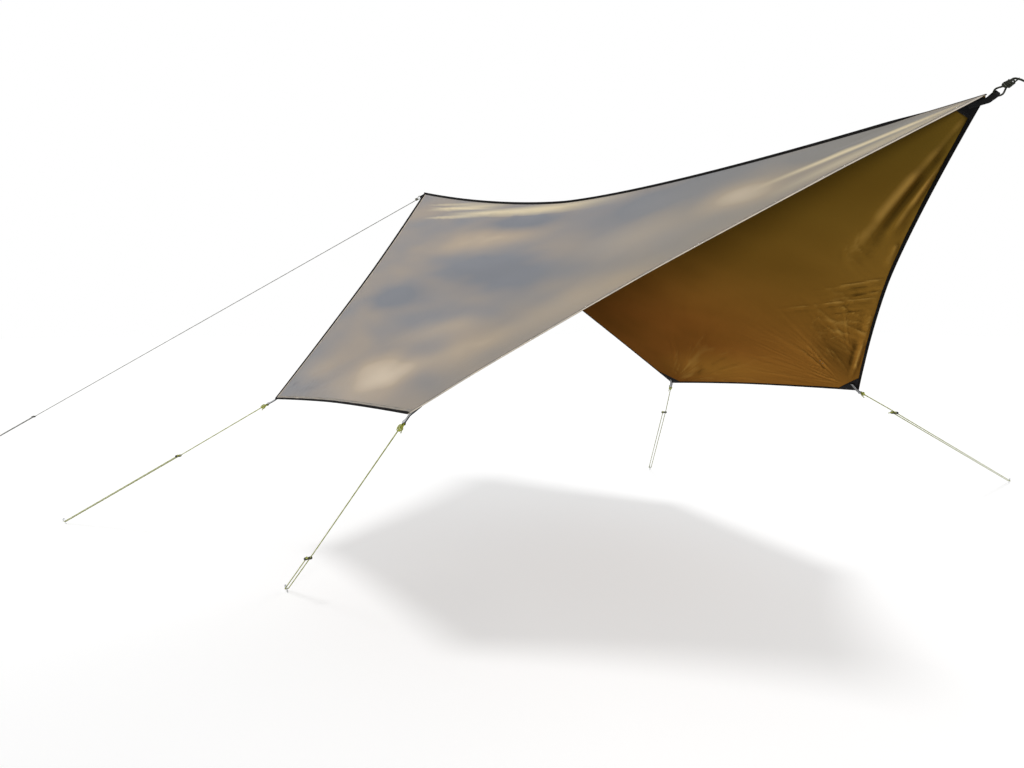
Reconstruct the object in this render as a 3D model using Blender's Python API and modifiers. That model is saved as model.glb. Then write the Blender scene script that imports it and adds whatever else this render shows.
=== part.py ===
"""
A camping tarp, pitched: two cloth wings joined along a sagging ridge seam, bound round their
edges, and drawn out at six points by webbing loops and cord guylines with sliding tensioners
and wire pegs.

Units are metres. The origin is the rear end of the ridge, +X runs along the ridge to its front
end and +Z is up. The wing on the -Y side is called near, the one on the +Y side far.
"""

import math

import bmesh
import bpy
from mathutils import Matrix, Vector

# The canopy's shape: where its six corners stand, and how far its edges bow in
RIDGE_LENGTH = 3.63
RIDGE_DROP = 0.335
RIDGE_SAG = 0.14
REAR_CORNER_RUN = 1.11
REAR_CORNER_OUT = 1.11
REAR_CORNER_DROP = 1.165
FRONT_CORNER_RUN = 2.54
FRONT_CORNER_OUT = 0.94
FRONT_CORNER_DROP = 1.09
REAR_EDGE_BOW = 0.06
HEM_BOW = 0.015
FRONT_EDGE_BOW = 0.045
DIP_POWER = 1.6
GROUND_DROP = 1.95

# Cloth, seam, binding and corner patches
CLOTH = 0.002
SEAM_DIAMETER = 0.008
BINDING_WIDTH = 0.012
BINDING_WALL = 0.001
BINDING_RIDGE_GAP = 0.022
BINDING_HEM_GAP = 0.012
HEM_PATCH_LEG = 0.09
RIDGE_PATCH_LEG = 0.06
PATCH_INSET = 0.02
PATCH_THICKNESS = 0.001

# Webbing loops: how far each one's eye stands out of the canopy
WEBBING_WIDTH = 0.015
WEBBING_THICKNESS = 0.0015
LOOP_TAIL = 0.045
EYE_RADIUS = 0.0065
EYE_FLARE = 0.014
NEAR_REAR_LOOP = 0.055
NEAR_FRONT_LOOP = 0.045
FAR_FRONT_LOOP = 0.03
FAR_REAR_LOOP = 0.045
REAR_RIDGE_LOOP = 0.042
FRONT_RIDGE_LOOP = 0.018
FRONT_LOOP_RISE = math.radians(28)

# Guylines: where each is pegged on the ground, and how far up from the peg its tensioner sits
LINE_DIAMETER = 0.004
STRAND_SPACING = 0.016
NEAR_REAR_PEG = (-0.22, -2.07)
NEAR_FRONT_PEG = (1.45, -1.13)
FAR_FRONT_PEG = (1.38, 3.86)
FAR_REAR_PEG = (-0.13, 1.86)
REAR_RIDGE_PEG = (-2.38, -3.07)
NEAR_REAR_TENSIONER = 1.07
NEAR_FRONT_TENSIONER = 0.32
FAR_FRONT_TENSIONER = 2.76
FAR_REAR_TENSIONER = 1.18
REAR_RIDGE_TENSIONER = 0.97
FRONT_LINE_FALL = math.radians(38)
FRONT_LINE_RUN = 0.12

# Knots, tensioners and pegs
KNOT_START = 0.022
KNOT_LENGTH = 0.018
KNOT_WIDTH = 0.015
KNOT_FLATNESS = 0.8
KNOT_STRAND_SPACING = 0.0064
STOPPER_LENGTH = 0.011
STOPPER_WIDTH = 0.0115
TENSIONER_WIDTH = 0.034
TENSIONER_DEPTH = 0.012
TENSIONER_THICKNESS = 0.006
PEG_WIRE = 0.0045
PEG_DEPTH = 0.16
PEG_LINE_HEIGHT = 0.014
PEG_NECK = 0.01
HOOK_RADIUS = 0.009
HOOK_TURN = math.radians(205)
PEG_POINT = 0.02

# Clearances: between touching pieces, under a curved cloth face, and round a cord in a bore
TOUCH = 0.0003
CLOTH_LIFT = 0.001
BORE_CLEARANCE = 0.0005
MERGE = 0.00001

# Fineness of the faceted shapes
COLUMNS = 24
ROWS = 12
PATCH_STEPS = 4
EYE_STEPS = 8
HOOK_STEPS = 8
ROUND_SIDES = 12
BEND_STEP = math.radians(18)

NEAR = -1
FAR = 1
UP = Vector((0, 0, 1))
REAR_SEAT = Vector((0, 0, 0))
FRONT_SEAT = Vector((RIDGE_LENGTH, 0, -RIDGE_DROP))

# A guyline's way round its webbing eye, as distance down the line and offset to the side: it
# starts inside the knot, turns back through the eye and leaves through the knot again
EYE_ROUTE = (
    (0.0350, -0.0032), (0.0270, -0.0032), (0.0205, -0.0034), (0.0140, -0.0072),
    (0.0071, -0.0099), (0.0022, -0.0086), (-0.0015, -0.0050), (-0.0028, 0.0),
    (-0.0015, 0.0050), (0.0022, 0.0086), (0.0071, 0.0099), (0.0140, 0.0072),
    (0.0205, 0.0034), (0.0270, 0.0032), (0.0420, 0.0032),
)
# Its way round the peg's shaft, measured from the shaft
PEG_ROUTE = (
    (-0.0400, 0.0080), (-0.0120, 0.0080), (-0.0034, 0.0080), (0.0006, 0.0069),
    (0.0035, 0.0040), (0.0046, 0.0), (0.0035, -0.0040), (0.0006, -0.0069),
    (-0.0034, -0.0080), (-0.0120, -0.0080), (-0.0400, -0.0080),
)
# The bight tied in the front line's far end, measured from the middle of its second knot
BIGHT_ROUTE = (
    (-0.0300, 0.0032), (-0.0080, 0.0032), (0.0090, 0.0032), (0.0190, 0.0070),
    (0.0300, 0.0115), (0.0400, 0.0100), (0.0460, 0.0050), (0.0475, 0.0),
    (0.0460, -0.0050), (0.0400, -0.0100), (0.0300, -0.0115), (0.0190, -0.0070),
    (0.0090, -0.0032), (-0.0030, -0.0032),
)


def clear_scene():
    for old in list(bpy.data.objects):
        bpy.data.objects.remove(old, do_unlink=True)


def make_collections():
    """One collection for the tarp and one, hidden, for the shapes that cut it."""
    tarp = bpy.data.collections.new("camping_tarp")
    cutters = bpy.data.collections.new("cutters")
    for group in (tarp, cutters):
        bpy.context.scene.collection.children.link(group)
    return tarp, cutters


def make_material(name, colour, roughness, metallic=0.0):
    material = bpy.data.materials.new(name)
    material.use_nodes = True
    shader = material.node_tree.nodes["Principled BSDF"]
    shader.inputs["Base Color"].default_value = (*colour, 1.0)
    shader.inputs["Roughness"].default_value = roughness
    shader.inputs["Metallic"].default_value = metallic
    material.diffuse_color = (*colour, 1.0)
    return material


def add_object(name, data, material, collection):
    piece = bpy.data.objects.new(name, data)
    if not data.materials:
        data.materials.append(material)
    collection.objects.link(piece)
    return piece


def add_shell(name, across, along, place, thickness, material, collection):
    """Cloth or tape as a grid moved into place, then thickened evenly to both sides.

    place(a, b) gives the point for a across and b along the grid, both from 0 to 1.
    """
    grid = bmesh.new()
    bmesh.ops.create_grid(grid, x_segments=across, y_segments=along, size=0.5)
    for vertex in grid.verts:
        vertex.co = place(vertex.co.x + 0.5, vertex.co.y + 0.5)
    bmesh.ops.remove_doubles(grid, verts=grid.verts, dist=MERGE)
    mesh = bpy.data.meshes.new(name)
    grid.to_mesh(mesh)
    grid.free()
    piece = add_object(name, mesh, material, collection)
    solid = piece.modifiers.new("Thickness", "SOLIDIFY")
    solid.thickness = thickness
    solid.offset = 0.0
    solid.use_even_offset = True
    return piece


def add_tube(name, points, diameter, material, collection, widths=None):
    """A round cord, wire or rolled seam along the points, closed at both ends."""
    curve = bpy.data.curves.new(name, "CURVE")
    curve.dimensions = "3D"
    curve.bevel_depth = diameter / 2
    curve.bevel_resolution = 2
    curve.use_fill_caps = True
    spline = curve.splines.new("POLY")
    spline.points.add(len(points) - 1)
    for index, point in enumerate(points):
        spline.points[index].co = (*point, 1.0)
        spline.points[index].radius = widths[index] if widths else 1.0
    return add_object(name, curve, material, collection)


# The canopy's surface

def dip(share):
    """How deep a slack edge hangs: 0 at both ends and 1 halfway."""
    return 1.0 - abs(2.0 * share - 1.0) ** DIP_POWER


def hem_corner(side, end):
    if end == "rear":
        return Vector((REAR_CORNER_RUN, side * REAR_CORNER_OUT, -REAR_CORNER_DROP))
    return Vector((FRONT_CORNER_RUN, side * FRONT_CORNER_OUT, -FRONT_CORNER_DROP))


def ridge_point(share):
    return REAR_SEAT.lerp(FRONT_SEAT, share) - UP * RIDGE_SAG * dip(share)


def bowed_edge(side, start, end, bow, share):
    """A point on an edge between two corners, bowed in towards the middle of its wing."""
    middle = (REAR_SEAT + FRONT_SEAT + hem_corner(side, "rear") + hem_corner(side, "front")) / 4
    along = (end - start).normalized()
    inward = middle - start
    inward -= along * inward.dot(along)
    return start.lerp(end, share) + inward.normalized() * bow * dip(share)


def rear_edge(side, share):
    return bowed_edge(side, REAR_SEAT, hem_corner(side, "rear"), REAR_EDGE_BOW, share)


def front_edge(side, share):
    return bowed_edge(side, FRONT_SEAT, hem_corner(side, "front"), FRONT_EDGE_BOW, share)


def hem_edge(side, share):
    return bowed_edge(side, hem_corner(side, "rear"), hem_corner(side, "front"), HEM_BOW, share)


def wing_point(side, u, v):
    """The cloth blended between its four edges: u runs to the front and v down to the hem."""
    rear = hem_corner(side, "rear")
    front = hem_corner(side, "front")
    between_long_edges = ridge_point(u).lerp(hem_edge(side, u), v)
    between_ends = rear_edge(side, v).lerp(front_edge(side, v), u)
    flat = REAR_SEAT.lerp(FRONT_SEAT, u).lerp(rear.lerp(front, u), v)
    return between_long_edges + between_ends - flat


def wing_normal(side, u, v):
    """The wing's upward normal, from short steps on its surface."""
    step = 0.01
    u = min(max(u, step), 1.0 - step)
    v = min(max(v, step), 1.0 - step)
    forward = wing_point(side, u + step, v) - wing_point(side, u - step, v)
    down = wing_point(side, u, v + step) - wing_point(side, u, v - step)
    normal = forward.cross(down).normalized()
    return normal if normal.z > 0 else -normal


def ridge_direction(share):
    """The ridge's direction towards the front at its rear end (0) or its front end (1)."""
    step = 0.01
    start = min(share, 1.0 - step)
    return (ridge_point(start + step) - ridge_point(start)).normalized()


def make_panel(side, name, material, collection):
    """One wing's cloth, from beside the rolled ridge seam to the three bound edges."""
    seam_gap = SEAM_DIAMETER / 2 + TOUCH

    def place(a, b):
        point = wing_point(side, a, b)
        if b < 0.5 / ROWS:
            away = (wing_point(side, a, 1.0 / ROWS) - point).normalized()
            point += away * seam_gap / math.sin(away.angle(ridge_direction(a)))
        return point

    add_shell(name, COLUMNS, ROWS, place, CLOTH, material, collection)


def make_ridge_seam(material, collection):
    points = [ridge_point(index / COLUMNS) for index in range(COLUMNS + 1)]
    add_tube("ridge_seam", points, SEAM_DIAMETER, material, collection)


def along_cells(points, share):
    """A point on the straight lines between the points that the cloth's grid has on an edge."""
    place = min(share * (len(points) - 1), len(points) - 1.0)
    cell = min(int(place), len(points) - 2)
    return points[cell].lerp(points[cell + 1], place - cell)


def make_binding(name, edge, next_row, cells, start_gap, end_gap, material, collection):
    """Tape folded over one edge of the cloth, as a channel with the edge inside it.

    edge and next_row give the points of the cloth's edge and of its next line of cells.
    """
    edge_points = [edge(index / cells) for index in range(cells + 1)]
    row_points = [next_row(index / cells) for index in range(cells + 1)]
    length = sum((b - a).length for a, b in zip(edge_points, edge_points[1:]))
    shares = [index / cells for index in range(cells + 1)]
    shares[0] = start_gap / length
    shares[-1] = 1.0 - end_gap / length
    lip_height = CLOTH / 2 + TOUCH + BINDING_WALL / 2
    back = TOUCH + BINDING_WALL / 2
    section = ((BINDING_WIDTH, lip_height), (-back, lip_height),
               (-back, -lip_height), (BINDING_WIDTH, -lip_height))

    def place(a, b):
        share = shares[round(b * cells)]
        point = along_cells(edge_points, share)
        ahead = along_cells(edge_points, min(share + 0.5 / cells, 1.0))
        behind = along_cells(edge_points, max(share - 0.5 / cells, 0.0))
        direction = (ahead - behind).normalized()
        normal = direction.cross(along_cells(row_points, share) - point).normalized()
        inward = normal.cross(direction)
        inset, height = section[round(a * 3)]
        return point + inward * inset + normal * height

    add_shell(name, 3, cells, place, BINDING_WALL, material, collection)


def make_bindings(side, label, material, collection):
    gaps = {"ridge": BINDING_RIDGE_GAP, "hem": BINDING_HEM_GAP}
    make_binding(label + "_rear_binding",
                 lambda share: wing_point(side, 0.0, share),
                 lambda share: wing_point(side, 1.0 / COLUMNS, share),
                 ROWS, gaps["ridge"], gaps["hem"], material, collection)
    make_binding(label + "_hem_binding",
                 lambda share: wing_point(side, share, 1.0),
                 lambda share: wing_point(side, share, 1.0 - 1.0 / ROWS),
                 COLUMNS, gaps["hem"], gaps["hem"], material, collection)
    make_binding(label + "_front_binding",
                 lambda share: wing_point(side, 1.0, share),
                 lambda share: wing_point(side, 1.0 - 1.0 / COLUMNS, share),
                 ROWS, gaps["ridge"], gaps["hem"], material, collection)


def make_patch(name, side, u_corner, v_corner, leg, material, collection):
    """A three-cornered reinforcement under one corner of a wing."""
    ridge_length = (FRONT_SEAT - REAR_SEAT).length
    hem_length = (hem_corner(side, "front") - hem_corner(side, "rear")).length
    u_length = hem_length if v_corner else ridge_length
    v_length = (wing_point(side, u_corner, 1.0) - wing_point(side, u_corner, 0.0)).length
    u_way = -1.0 if u_corner else 1.0
    v_way = -1.0 if v_corner else 1.0
    depth = CLOTH / 2 + CLOTH_LIFT + PATCH_THICKNESS / 2

    def place(a, b):
        u = u_corner + u_way * (PATCH_INSET + leg * a * (1.0 - b)) / u_length
        v = v_corner + v_way * (PATCH_INSET + leg * a * b) / v_length
        return wing_point(side, u, v) - wing_normal(side, u, v) * depth

    add_shell(name, PATCH_STEPS, PATCH_STEPS, place, PATCH_THICKNESS, material, collection)


def make_patches(side, label, material, collection):
    for end, u_corner in (("rear", 0.0), ("front", 1.0)):
        make_patch(label + "_ridge_" + end + "_patch", side, u_corner, 0.0, RIDGE_PATCH_LEG,
                   material, collection)
        make_patch(label + "_" + end + "_patch", side, u_corner, 1.0, HEM_PATCH_LEG,
                   material, collection)


# The webbing loops and the guylines that pull on them

def peg_point(peg):
    """Where a line goes round its peg's shaft, just above the ground."""
    return Vector((peg[0], peg[1], PEG_LINE_HEIGHT - GROUND_DROP))


def corner_seat(side, end):
    """A hem corner's loop, under the patch.

    Its tail lies midway between the line of the pull and the middle of the cloth's corner.
    """
    corner = hem_corner(side, end)
    normal = wing_normal(side, 1.0 if end == "front" else 0.0, 1.0)
    layers = WEBBING_THICKNESS + TOUCH / 2
    lift = CLOTH / 2 + CLOTH_LIFT + PATCH_THICKNESS + TOUCH + layers
    peg = {(NEAR, "rear"): NEAR_REAR_PEG, (NEAR, "front"): NEAR_FRONT_PEG,
           (FAR, "front"): FAR_FRONT_PEG, (FAR, "rear"): FAR_REAR_PEG}[(side, end)]
    base = corner - normal * lift
    pull = (peg_point(peg) - base).normalized()
    against = -(pull - normal * pull.dot(normal)).normalized()
    along_hem = (hem_corner(side, "rear" if end == "front" else "front") - corner).normalized()
    along_end = ((FRONT_SEAT if end == "front" else REAR_SEAT) - corner).normalized()
    middle = along_hem + along_end
    middle = (middle - normal * middle.dot(normal)).normalized()
    return {"base": base, "inward": (against + middle).normalized(), "normal": normal,
            "pull": pull, "peg": peg_point(peg)}


def beside_seam(u, inward):
    """The normal and the outward way of a loop laid along the seam on the far wing."""
    normal = wing_normal(FAR, u, 0.0)
    across = normal.cross(inward).normalized()
    across = across if across.y > 0 else -across
    normal = inward.cross(across).normalized()
    return (normal if normal.z > 0 else -normal), across


def rear_ridge_seat():
    """The rear loop lies on the far wing beside the seam, and is drawn round the ridge's end."""
    inward = ridge_direction(0.0)
    normal, across = beside_seam(0.0, inward)
    lift = CLOTH / 2 + TOUCH + BINDING_WALL + CLOTH_LIFT + WEBBING_THICKNESS + TOUCH / 2
    base = REAR_SEAT + normal * lift
    base += across * (SEAM_DIAMETER / 2 + CLOTH_LIFT + WEBBING_WIDTH / 2)
    peg = peg_point(REAR_RIDGE_PEG)
    return {"base": base, "inward": inward, "normal": normal,
            "pull": (peg - base).normalized(), "peg": peg}


def front_ridge_seat():
    """The front loop lies under the far wing's patch and stands out in line with the ridge."""
    inward = -ridge_direction(1.0)
    normal, across = beside_seam(1.0, inward)
    lift = CLOTH / 2 + CLOTH_LIFT + PATCH_THICKNESS + TOUCH + WEBBING_THICKNESS + TOUCH / 2
    base = FRONT_SEAT - normal * lift
    base += across * (SEAM_DIAMETER / 2 + CLOTH_LIFT + WEBBING_WIDTH / 2)
    pull = Vector((math.cos(FRONT_LOOP_RISE), 0, math.sin(FRONT_LOOP_RISE)))
    return {"base": base, "inward": inward, "normal": normal, "pull": pull, "peg": None}


def add_line_frame(seat, reach):
    """Completes a seat with its eye, the webbing's width direction and the level side."""
    pull = seat["pull"]
    side = seat["normal"].cross(seat["inward"])
    side = (side - pull * side.dot(pull)).normalized()
    level = pull.cross(UP).normalized()
    seat["side"] = side
    seat["level"] = level if level.dot(side) > 0 else -level
    seat["eye"] = seat["base"] + pull * reach
    if seat["peg"]:
        seat["length"] = (seat["peg"] - seat["eye"]).length
    return seat


def make_loop(name, seat, reach, material, collection):
    """Webbing folded in two: sewn tail, bend, round eye for the cord, and back again."""
    half_gap = (WEBBING_THICKNESS + TOUCH) / 2
    middle_radius = EYE_RADIUS + WEBBING_THICKNESS / 2
    outer_up = seat["side"].cross(seat["pull"])
    outer_up = outer_up if outer_up.dot(seat["normal"]) > 0 else -outer_up
    bend_up = (seat["normal"] + outer_up).normalized()
    bend_up /= bend_up.dot(outer_up)
    tail_side = seat["normal"].cross(seat["inward"]).normalized()
    wrap = math.pi - math.atan2(half_gap, EYE_FLARE)
    wrap -= math.acos(middle_radius / math.hypot(half_gap, EYE_FLARE))

    upper = [(seat["base"] + seat["inward"] * LOOP_TAIL + seat["normal"] * half_gap, tail_side),
             (seat["base"] + bend_up * half_gap, tail_side),
             (seat["eye"] - seat["pull"] * EYE_FLARE + outer_up * half_gap, seat["side"])]
    lower = [(seat["eye"] - seat["pull"] * EYE_FLARE - outer_up * half_gap, seat["side"]),
             (seat["base"] - bend_up * half_gap, tail_side),
             (seat["base"] + seat["inward"] * LOOP_TAIL - seat["normal"] * half_gap, tail_side)]
    turn = []
    for index in range(EYE_STEPS + 1):
        angle = wrap - 2 * wrap * index / EYE_STEPS
        spoke = seat["pull"] * math.cos(angle) + outer_up * math.sin(angle)
        turn.append((seat["eye"] + spoke * middle_radius, seat["side"]))
    path = upper + turn + lower

    def place(a, b):
        point, side = path[round(b * (len(path) - 1))]
        return point + side * (a - 0.5) * WEBBING_WIDTH

    add_shell(name, 1, len(path) - 1, place, WEBBING_THICKNESS, material, collection)


def smooth_route(route):
    """Points read from a smooth curve through the route. Straight spans keep only their ends."""
    spans = [(b - a).length for a, b in zip(route, route[1:])]
    ways = [(b - a) / span for a, b, span in zip(route, route[1:], spans)]
    slopes = [ways[0]]
    for index in range(1, len(route) - 1):
        before = ways[index - 1] * spans[index]
        after = ways[index] * spans[index - 1]
        slopes.append((before + after) / (spans[index - 1] + spans[index]))
    slopes.append(ways[-1])
    points = []
    for index, span in enumerate(spans):
        turn = slopes[index].angle(slopes[index + 1])
        steps = max(1, round(turn / BEND_STEP))
        for step in range(steps):
            t = step / steps
            points.append(route[index] * (2 * t ** 3 - 3 * t ** 2 + 1)
                          + slopes[index] * span * (t ** 3 - 2 * t ** 2 + t)
                          + route[index + 1] * (3 * t ** 2 - 2 * t ** 3)
                          + slopes[index + 1] * span * (t ** 3 - t ** 2))
    points.append(route[-1])
    return points


def pegged_route(seat, tensioner):
    """A guyline from inside its knot, round the eye and the peg, into its stopper knot."""
    eye, pull, side, level = seat["eye"], seat["pull"], seat["side"], seat["level"]
    half = STRAND_SPACING / 2
    at_tensioner = seat["length"] - tensioner
    stopper_end = TENSIONER_THICKNESS / 2 + TOUCH + STOPPER_LENGTH / 2
    route = [eye + pull * down + side * offset for down, offset in EYE_ROUTE]
    route.append(eye + pull * (at_tensioner - 0.04) + level * half)
    route.append(eye + pull * (at_tensioner + 0.04) + level * half)
    route += [seat["peg"] + pull * down + level * offset for down, offset in PEG_ROUTE]
    route.append(eye + pull * (at_tensioner + 0.04) - level * half)
    route.append(eye + pull * (at_tensioner - stopper_end) - level * half)
    return route


def front_knot_place(seat):
    """The front line's second knot, down its slope from the first one."""
    slope = Vector((math.cos(FRONT_LINE_FALL), 0, -math.sin(FRONT_LINE_FALL)))
    bend = seat["eye"] + seat["pull"] * (KNOT_START + KNOT_LENGTH + 0.008)
    return bend + slope * FRONT_LINE_RUN, slope


def front_route(seat):
    """The front line: round the eye, down its slope and into the bight tied in its end."""
    eye, pull, side, level = seat["eye"], seat["pull"], seat["side"], seat["level"]
    knot, slope = front_knot_place(seat)
    route = [eye + pull * down + side * offset for down, offset in EYE_ROUTE]
    route.append(knot - slope * (FRONT_LINE_RUN - 0.012) + level * BIGHT_ROUTE[0][1])
    route += [knot + slope * down + level * offset for down, offset in BIGHT_ROUTE]
    return route


def frame_matrix(origin, x_axis, y_axis, z_axis):
    turn = Matrix((x_axis, y_axis, z_axis)).transposed()
    return Matrix.Translation(origin) @ turn.to_4x4()


def finished_mesh(piece, name):
    """The piece's mesh with its modifiers done. The piece itself goes."""
    bpy.context.view_layer.update()
    seen = piece.evaluated_get(bpy.context.evaluated_depsgraph_get())
    mesh = bpy.data.meshes.new_from_object(seen)
    mesh.name = name
    bpy.data.objects.remove(piece, do_unlink=True)
    return mesh


def turned_barrel(name, length, width, wraps, material, collection):
    """A knot's body: a turned barrel that swells at each wrap of cord, flattened a little."""
    rings = 2 * wraps
    profile = bmesh.new()
    points = [(0.0, length / 2)]
    for index in range(rings + 1):
        radius = width / 2 * (1.0 if index % 2 else 0.88)
        points.append((radius, length / 2 - length * index / rings))
    points.append((0.0, -length / 2))
    verts = [profile.verts.new((x, 0.0, z)) for x, z in points]
    for first, second in zip(verts, verts[1:]):
        profile.edges.new((first, second))
    mesh = bpy.data.meshes.new(name)
    profile.to_mesh(mesh)
    profile.free()
    barrel = add_object(name, mesh, material, collection)
    screw = barrel.modifiers.new("Turn", "SCREW")
    screw.steps = ROUND_SIDES
    screw.render_steps = ROUND_SIDES
    screw.use_merge_vertices = True
    screw.merge_threshold = MERGE
    turned = finished_mesh(barrel, name)
    turned.transform(Matrix.Diagonal((1.0, KNOT_FLATNESS, 1.0, 1.0)))
    return turned


def bore_cutter(name, offset, start, end, material, cutters):
    """A cylinder that cuts the hole for one strand of cord."""
    radius = LINE_DIAMETER / 2 + BORE_CLEARANCE
    cylinder = bmesh.new()
    bmesh.ops.create_cone(cylinder, cap_ends=True, segments=ROUND_SIDES,
                          radius1=radius, radius2=radius, depth=end - start)
    mesh = bpy.data.meshes.new(name)
    cylinder.to_mesh(mesh)
    cylinder.free()
    cutter = add_object(name, mesh, material, cutters)
    cutter.location = (offset, 0.0, (start + end) / 2)
    cutter.hide_render = True
    cutter.display_type = "WIRE"
    return cutter


def bored_knot(name, length, width, wraps, bores, material, tarp, cutters):
    """A tied knot with a bore for each strand: its offset, and its start and end along Z."""
    barrel = turned_barrel(name, length, width, wraps, material, tarp)
    knot = add_object(name, barrel, material, tarp)
    for offset, start, end in bores:
        cut = knot.modifiers.new("Bore", "BOOLEAN")
        cut.operation = "DIFFERENCE"
        cut.object = bore_cutter(name + "_bore", offset, start, end, material, cutters)
    mesh = finished_mesh(knot, name)
    for cutter in list(cutters.objects):
        bpy.data.objects.remove(cutter, do_unlink=True)
    return mesh


def tensioner_outline(material):
    """A flat bar with round ends and a hole near each of them, as a filled 2D curve."""
    curve = bpy.data.curves.new("tensioner", "CURVE")
    curve.dimensions = "2D"
    curve.fill_mode = "BOTH"
    curve.extrude = TENSIONER_THICKNESS / 2
    curve.materials.append(material)
    end_radius = TENSIONER_DEPTH / 2
    end_middle = TENSIONER_WIDTH / 2 - end_radius
    outline = []
    for way in (1, -1):
        for index in range(ROUND_SIDES // 2 + 1):
            angle = way * math.pi / 2 - way * math.pi * index / (ROUND_SIDES // 2)
            outline.append((way * (end_middle + end_radius * math.cos(angle)),
                            end_radius * math.sin(angle)))
    add_loop(curve, outline)
    for way in (1, -1):
        hole = []
        for index in range(ROUND_SIDES):
            angle = math.tau * index / ROUND_SIDES
            radius = LINE_DIAMETER / 2 + BORE_CLEARANCE
            hole.append((way * STRAND_SPACING / 2 + radius * math.cos(angle),
                         radius * math.sin(angle)))
        add_loop(curve, hole)
    return curve


def add_loop(curve, points):
    spline = curve.splines.new("POLY")
    spline.points.add(len(points) - 1)
    for index, (x, y) in enumerate(points):
        spline.points[index].co = (x, y, 0.0, 1.0)
    spline.use_cyclic_u = True


def peg_shape():
    """A hooked wire peg: point, shaft and the hook over the line, in the peg's own frame."""
    points = [Vector((0, 0, -PEG_DEPTH)), Vector((0, 0, PEG_POINT - PEG_DEPTH)),
              Vector((0, 0, 0))]
    for index in range(HOOK_STEPS + 1):
        angle = math.pi - HOOK_TURN * index / HOOK_STEPS
        points.append(Vector((HOOK_RADIUS + HOOK_RADIUS * math.cos(angle), 0,
                              PEG_NECK + HOOK_RADIUS * math.sin(angle))))
    return points


def make_guyline(label, seat, tensioner, shapes, materials, tarp):
    """One pegged guyline with its knot, tensioner, stopper knot and peg."""
    pull, level = seat["pull"], seat["level"]
    add_tube(label + "_guyline", smooth_route(pegged_route(seat, tensioner)), LINE_DIAMETER,
             materials["cord"], tarp)
    upright = level.cross(pull)
    upright = upright if upright.z > 0 else -upright

    place = seat["eye"] + pull * (seat["length"] - tensioner)
    bar = add_object(label + "_tensioner", shapes["tensioner"], materials["tensioner"], tarp)
    bar.matrix_world = frame_matrix(place, level, pull.cross(level), pull)

    stopper = add_object(label + "_stopper_knot", shapes["stopper"], materials["knot"], tarp)
    back = TENSIONER_THICKNESS / 2 + TOUCH + STOPPER_LENGTH / 2
    stopper.matrix_world = frame_matrix(place - pull * back - level * STRAND_SPACING / 2,
                                        level, pull.cross(level), pull)

    widths = [0.25] + [1.0] * (HOOK_STEPS + 3)
    peg = add_tube(label + "_peg", peg_shape(), PEG_WIRE, materials["peg"], tarp, widths)
    peg.matrix_world = frame_matrix(seat["peg"], pull, upright.cross(pull), upright)


def make_hitch_knot(label, seat, shapes, materials, tarp):
    knot = add_object(label + "_knot", shapes["hitch"], materials["knot"], tarp)
    middle = seat["eye"] + seat["pull"] * (KNOT_START + KNOT_LENGTH / 2)
    knot.matrix_world = frame_matrix(middle, seat["side"], seat["pull"].cross(seat["side"]),
                                     seat["pull"])


def make_front_line(seat, shapes, materials, tarp):
    """The front ridge guyline, which ends in a tied bight for a pole's tip or a hook."""
    add_tube("front_ridge_guyline", smooth_route(front_route(seat)), LINE_DIAMETER,
             materials["cord"], tarp)
    knot, slope = front_knot_place(seat)
    bight = add_object("front_line_bight_knot", shapes["bight"], materials["knot"], tarp)
    bight.matrix_world = frame_matrix(knot, seat["level"], slope.cross(seat["level"]), slope)


def pulled_points():
    """Every webbing loop by name: its seat and how far its eye stands out."""
    return {
        "near_rear": (corner_seat(NEAR, "rear"), NEAR_REAR_LOOP),
        "near_front": (corner_seat(NEAR, "front"), NEAR_FRONT_LOOP),
        "far_front": (corner_seat(FAR, "front"), FAR_FRONT_LOOP),
        "far_rear": (corner_seat(FAR, "rear"), FAR_REAR_LOOP),
        "rear_ridge": (rear_ridge_seat(), REAR_RIDGE_LOOP),
        "front_ridge": (front_ridge_seat(), FRONT_RIDGE_LOOP),
    }


def make_materials():
    return {
        "cloth": make_material("coated_ripstop_cloth", (0.21, 0.17, 0.13), 0.6),
        "binding": make_material("black_binding_tape", (0.015, 0.014, 0.014), 0.8),
        "patch": make_material("black_reinforcing_cloth", (0.02, 0.018, 0.016), 0.75),
        "webbing": make_material("black_webbing", (0.018, 0.018, 0.02), 0.7),
        "cord": make_material("braided_guyline", (0.42, 0.43, 0.12), 0.7),
        "knot": make_material("knotted_guyline", (0.38, 0.39, 0.12), 0.7),
        "tensioner": make_material("moulded_nylon", (0.03, 0.03, 0.03), 0.45),
        "peg": make_material("steel_wire", (0.45, 0.45, 0.44), 0.35, 1.0),
    }


def make_shapes(materials, tarp, cutters):
    """The meshes that repeated hardware shares."""
    half = KNOT_LENGTH / 2
    strand = KNOT_STRAND_SPACING / 2
    past = 0.002
    through = (strand, -half - past, half + past)
    blind = (-strand, -half - past, half / 2)
    stopper_half = STOPPER_LENGTH / 2
    stopper_bore = (0.0, -stopper_half / 2, stopper_half + past)
    return {
        "hitch": bored_knot("hitch_knot", KNOT_LENGTH, KNOT_WIDTH, 3, (through, blind),
                             materials["knot"], tarp, cutters),
        "bight": bored_knot("bight_knot", KNOT_LENGTH, KNOT_WIDTH, 3,
                             (through, (-strand, -half / 2, half + past)),
                             materials["knot"], tarp, cutters),
        "stopper": bored_knot("stopper_knot", STOPPER_LENGTH, STOPPER_WIDTH, 2,
                               (stopper_bore,), materials["knot"], tarp, cutters),
        "tensioner": tensioner_outline(materials["tensioner"]),
    }


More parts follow.
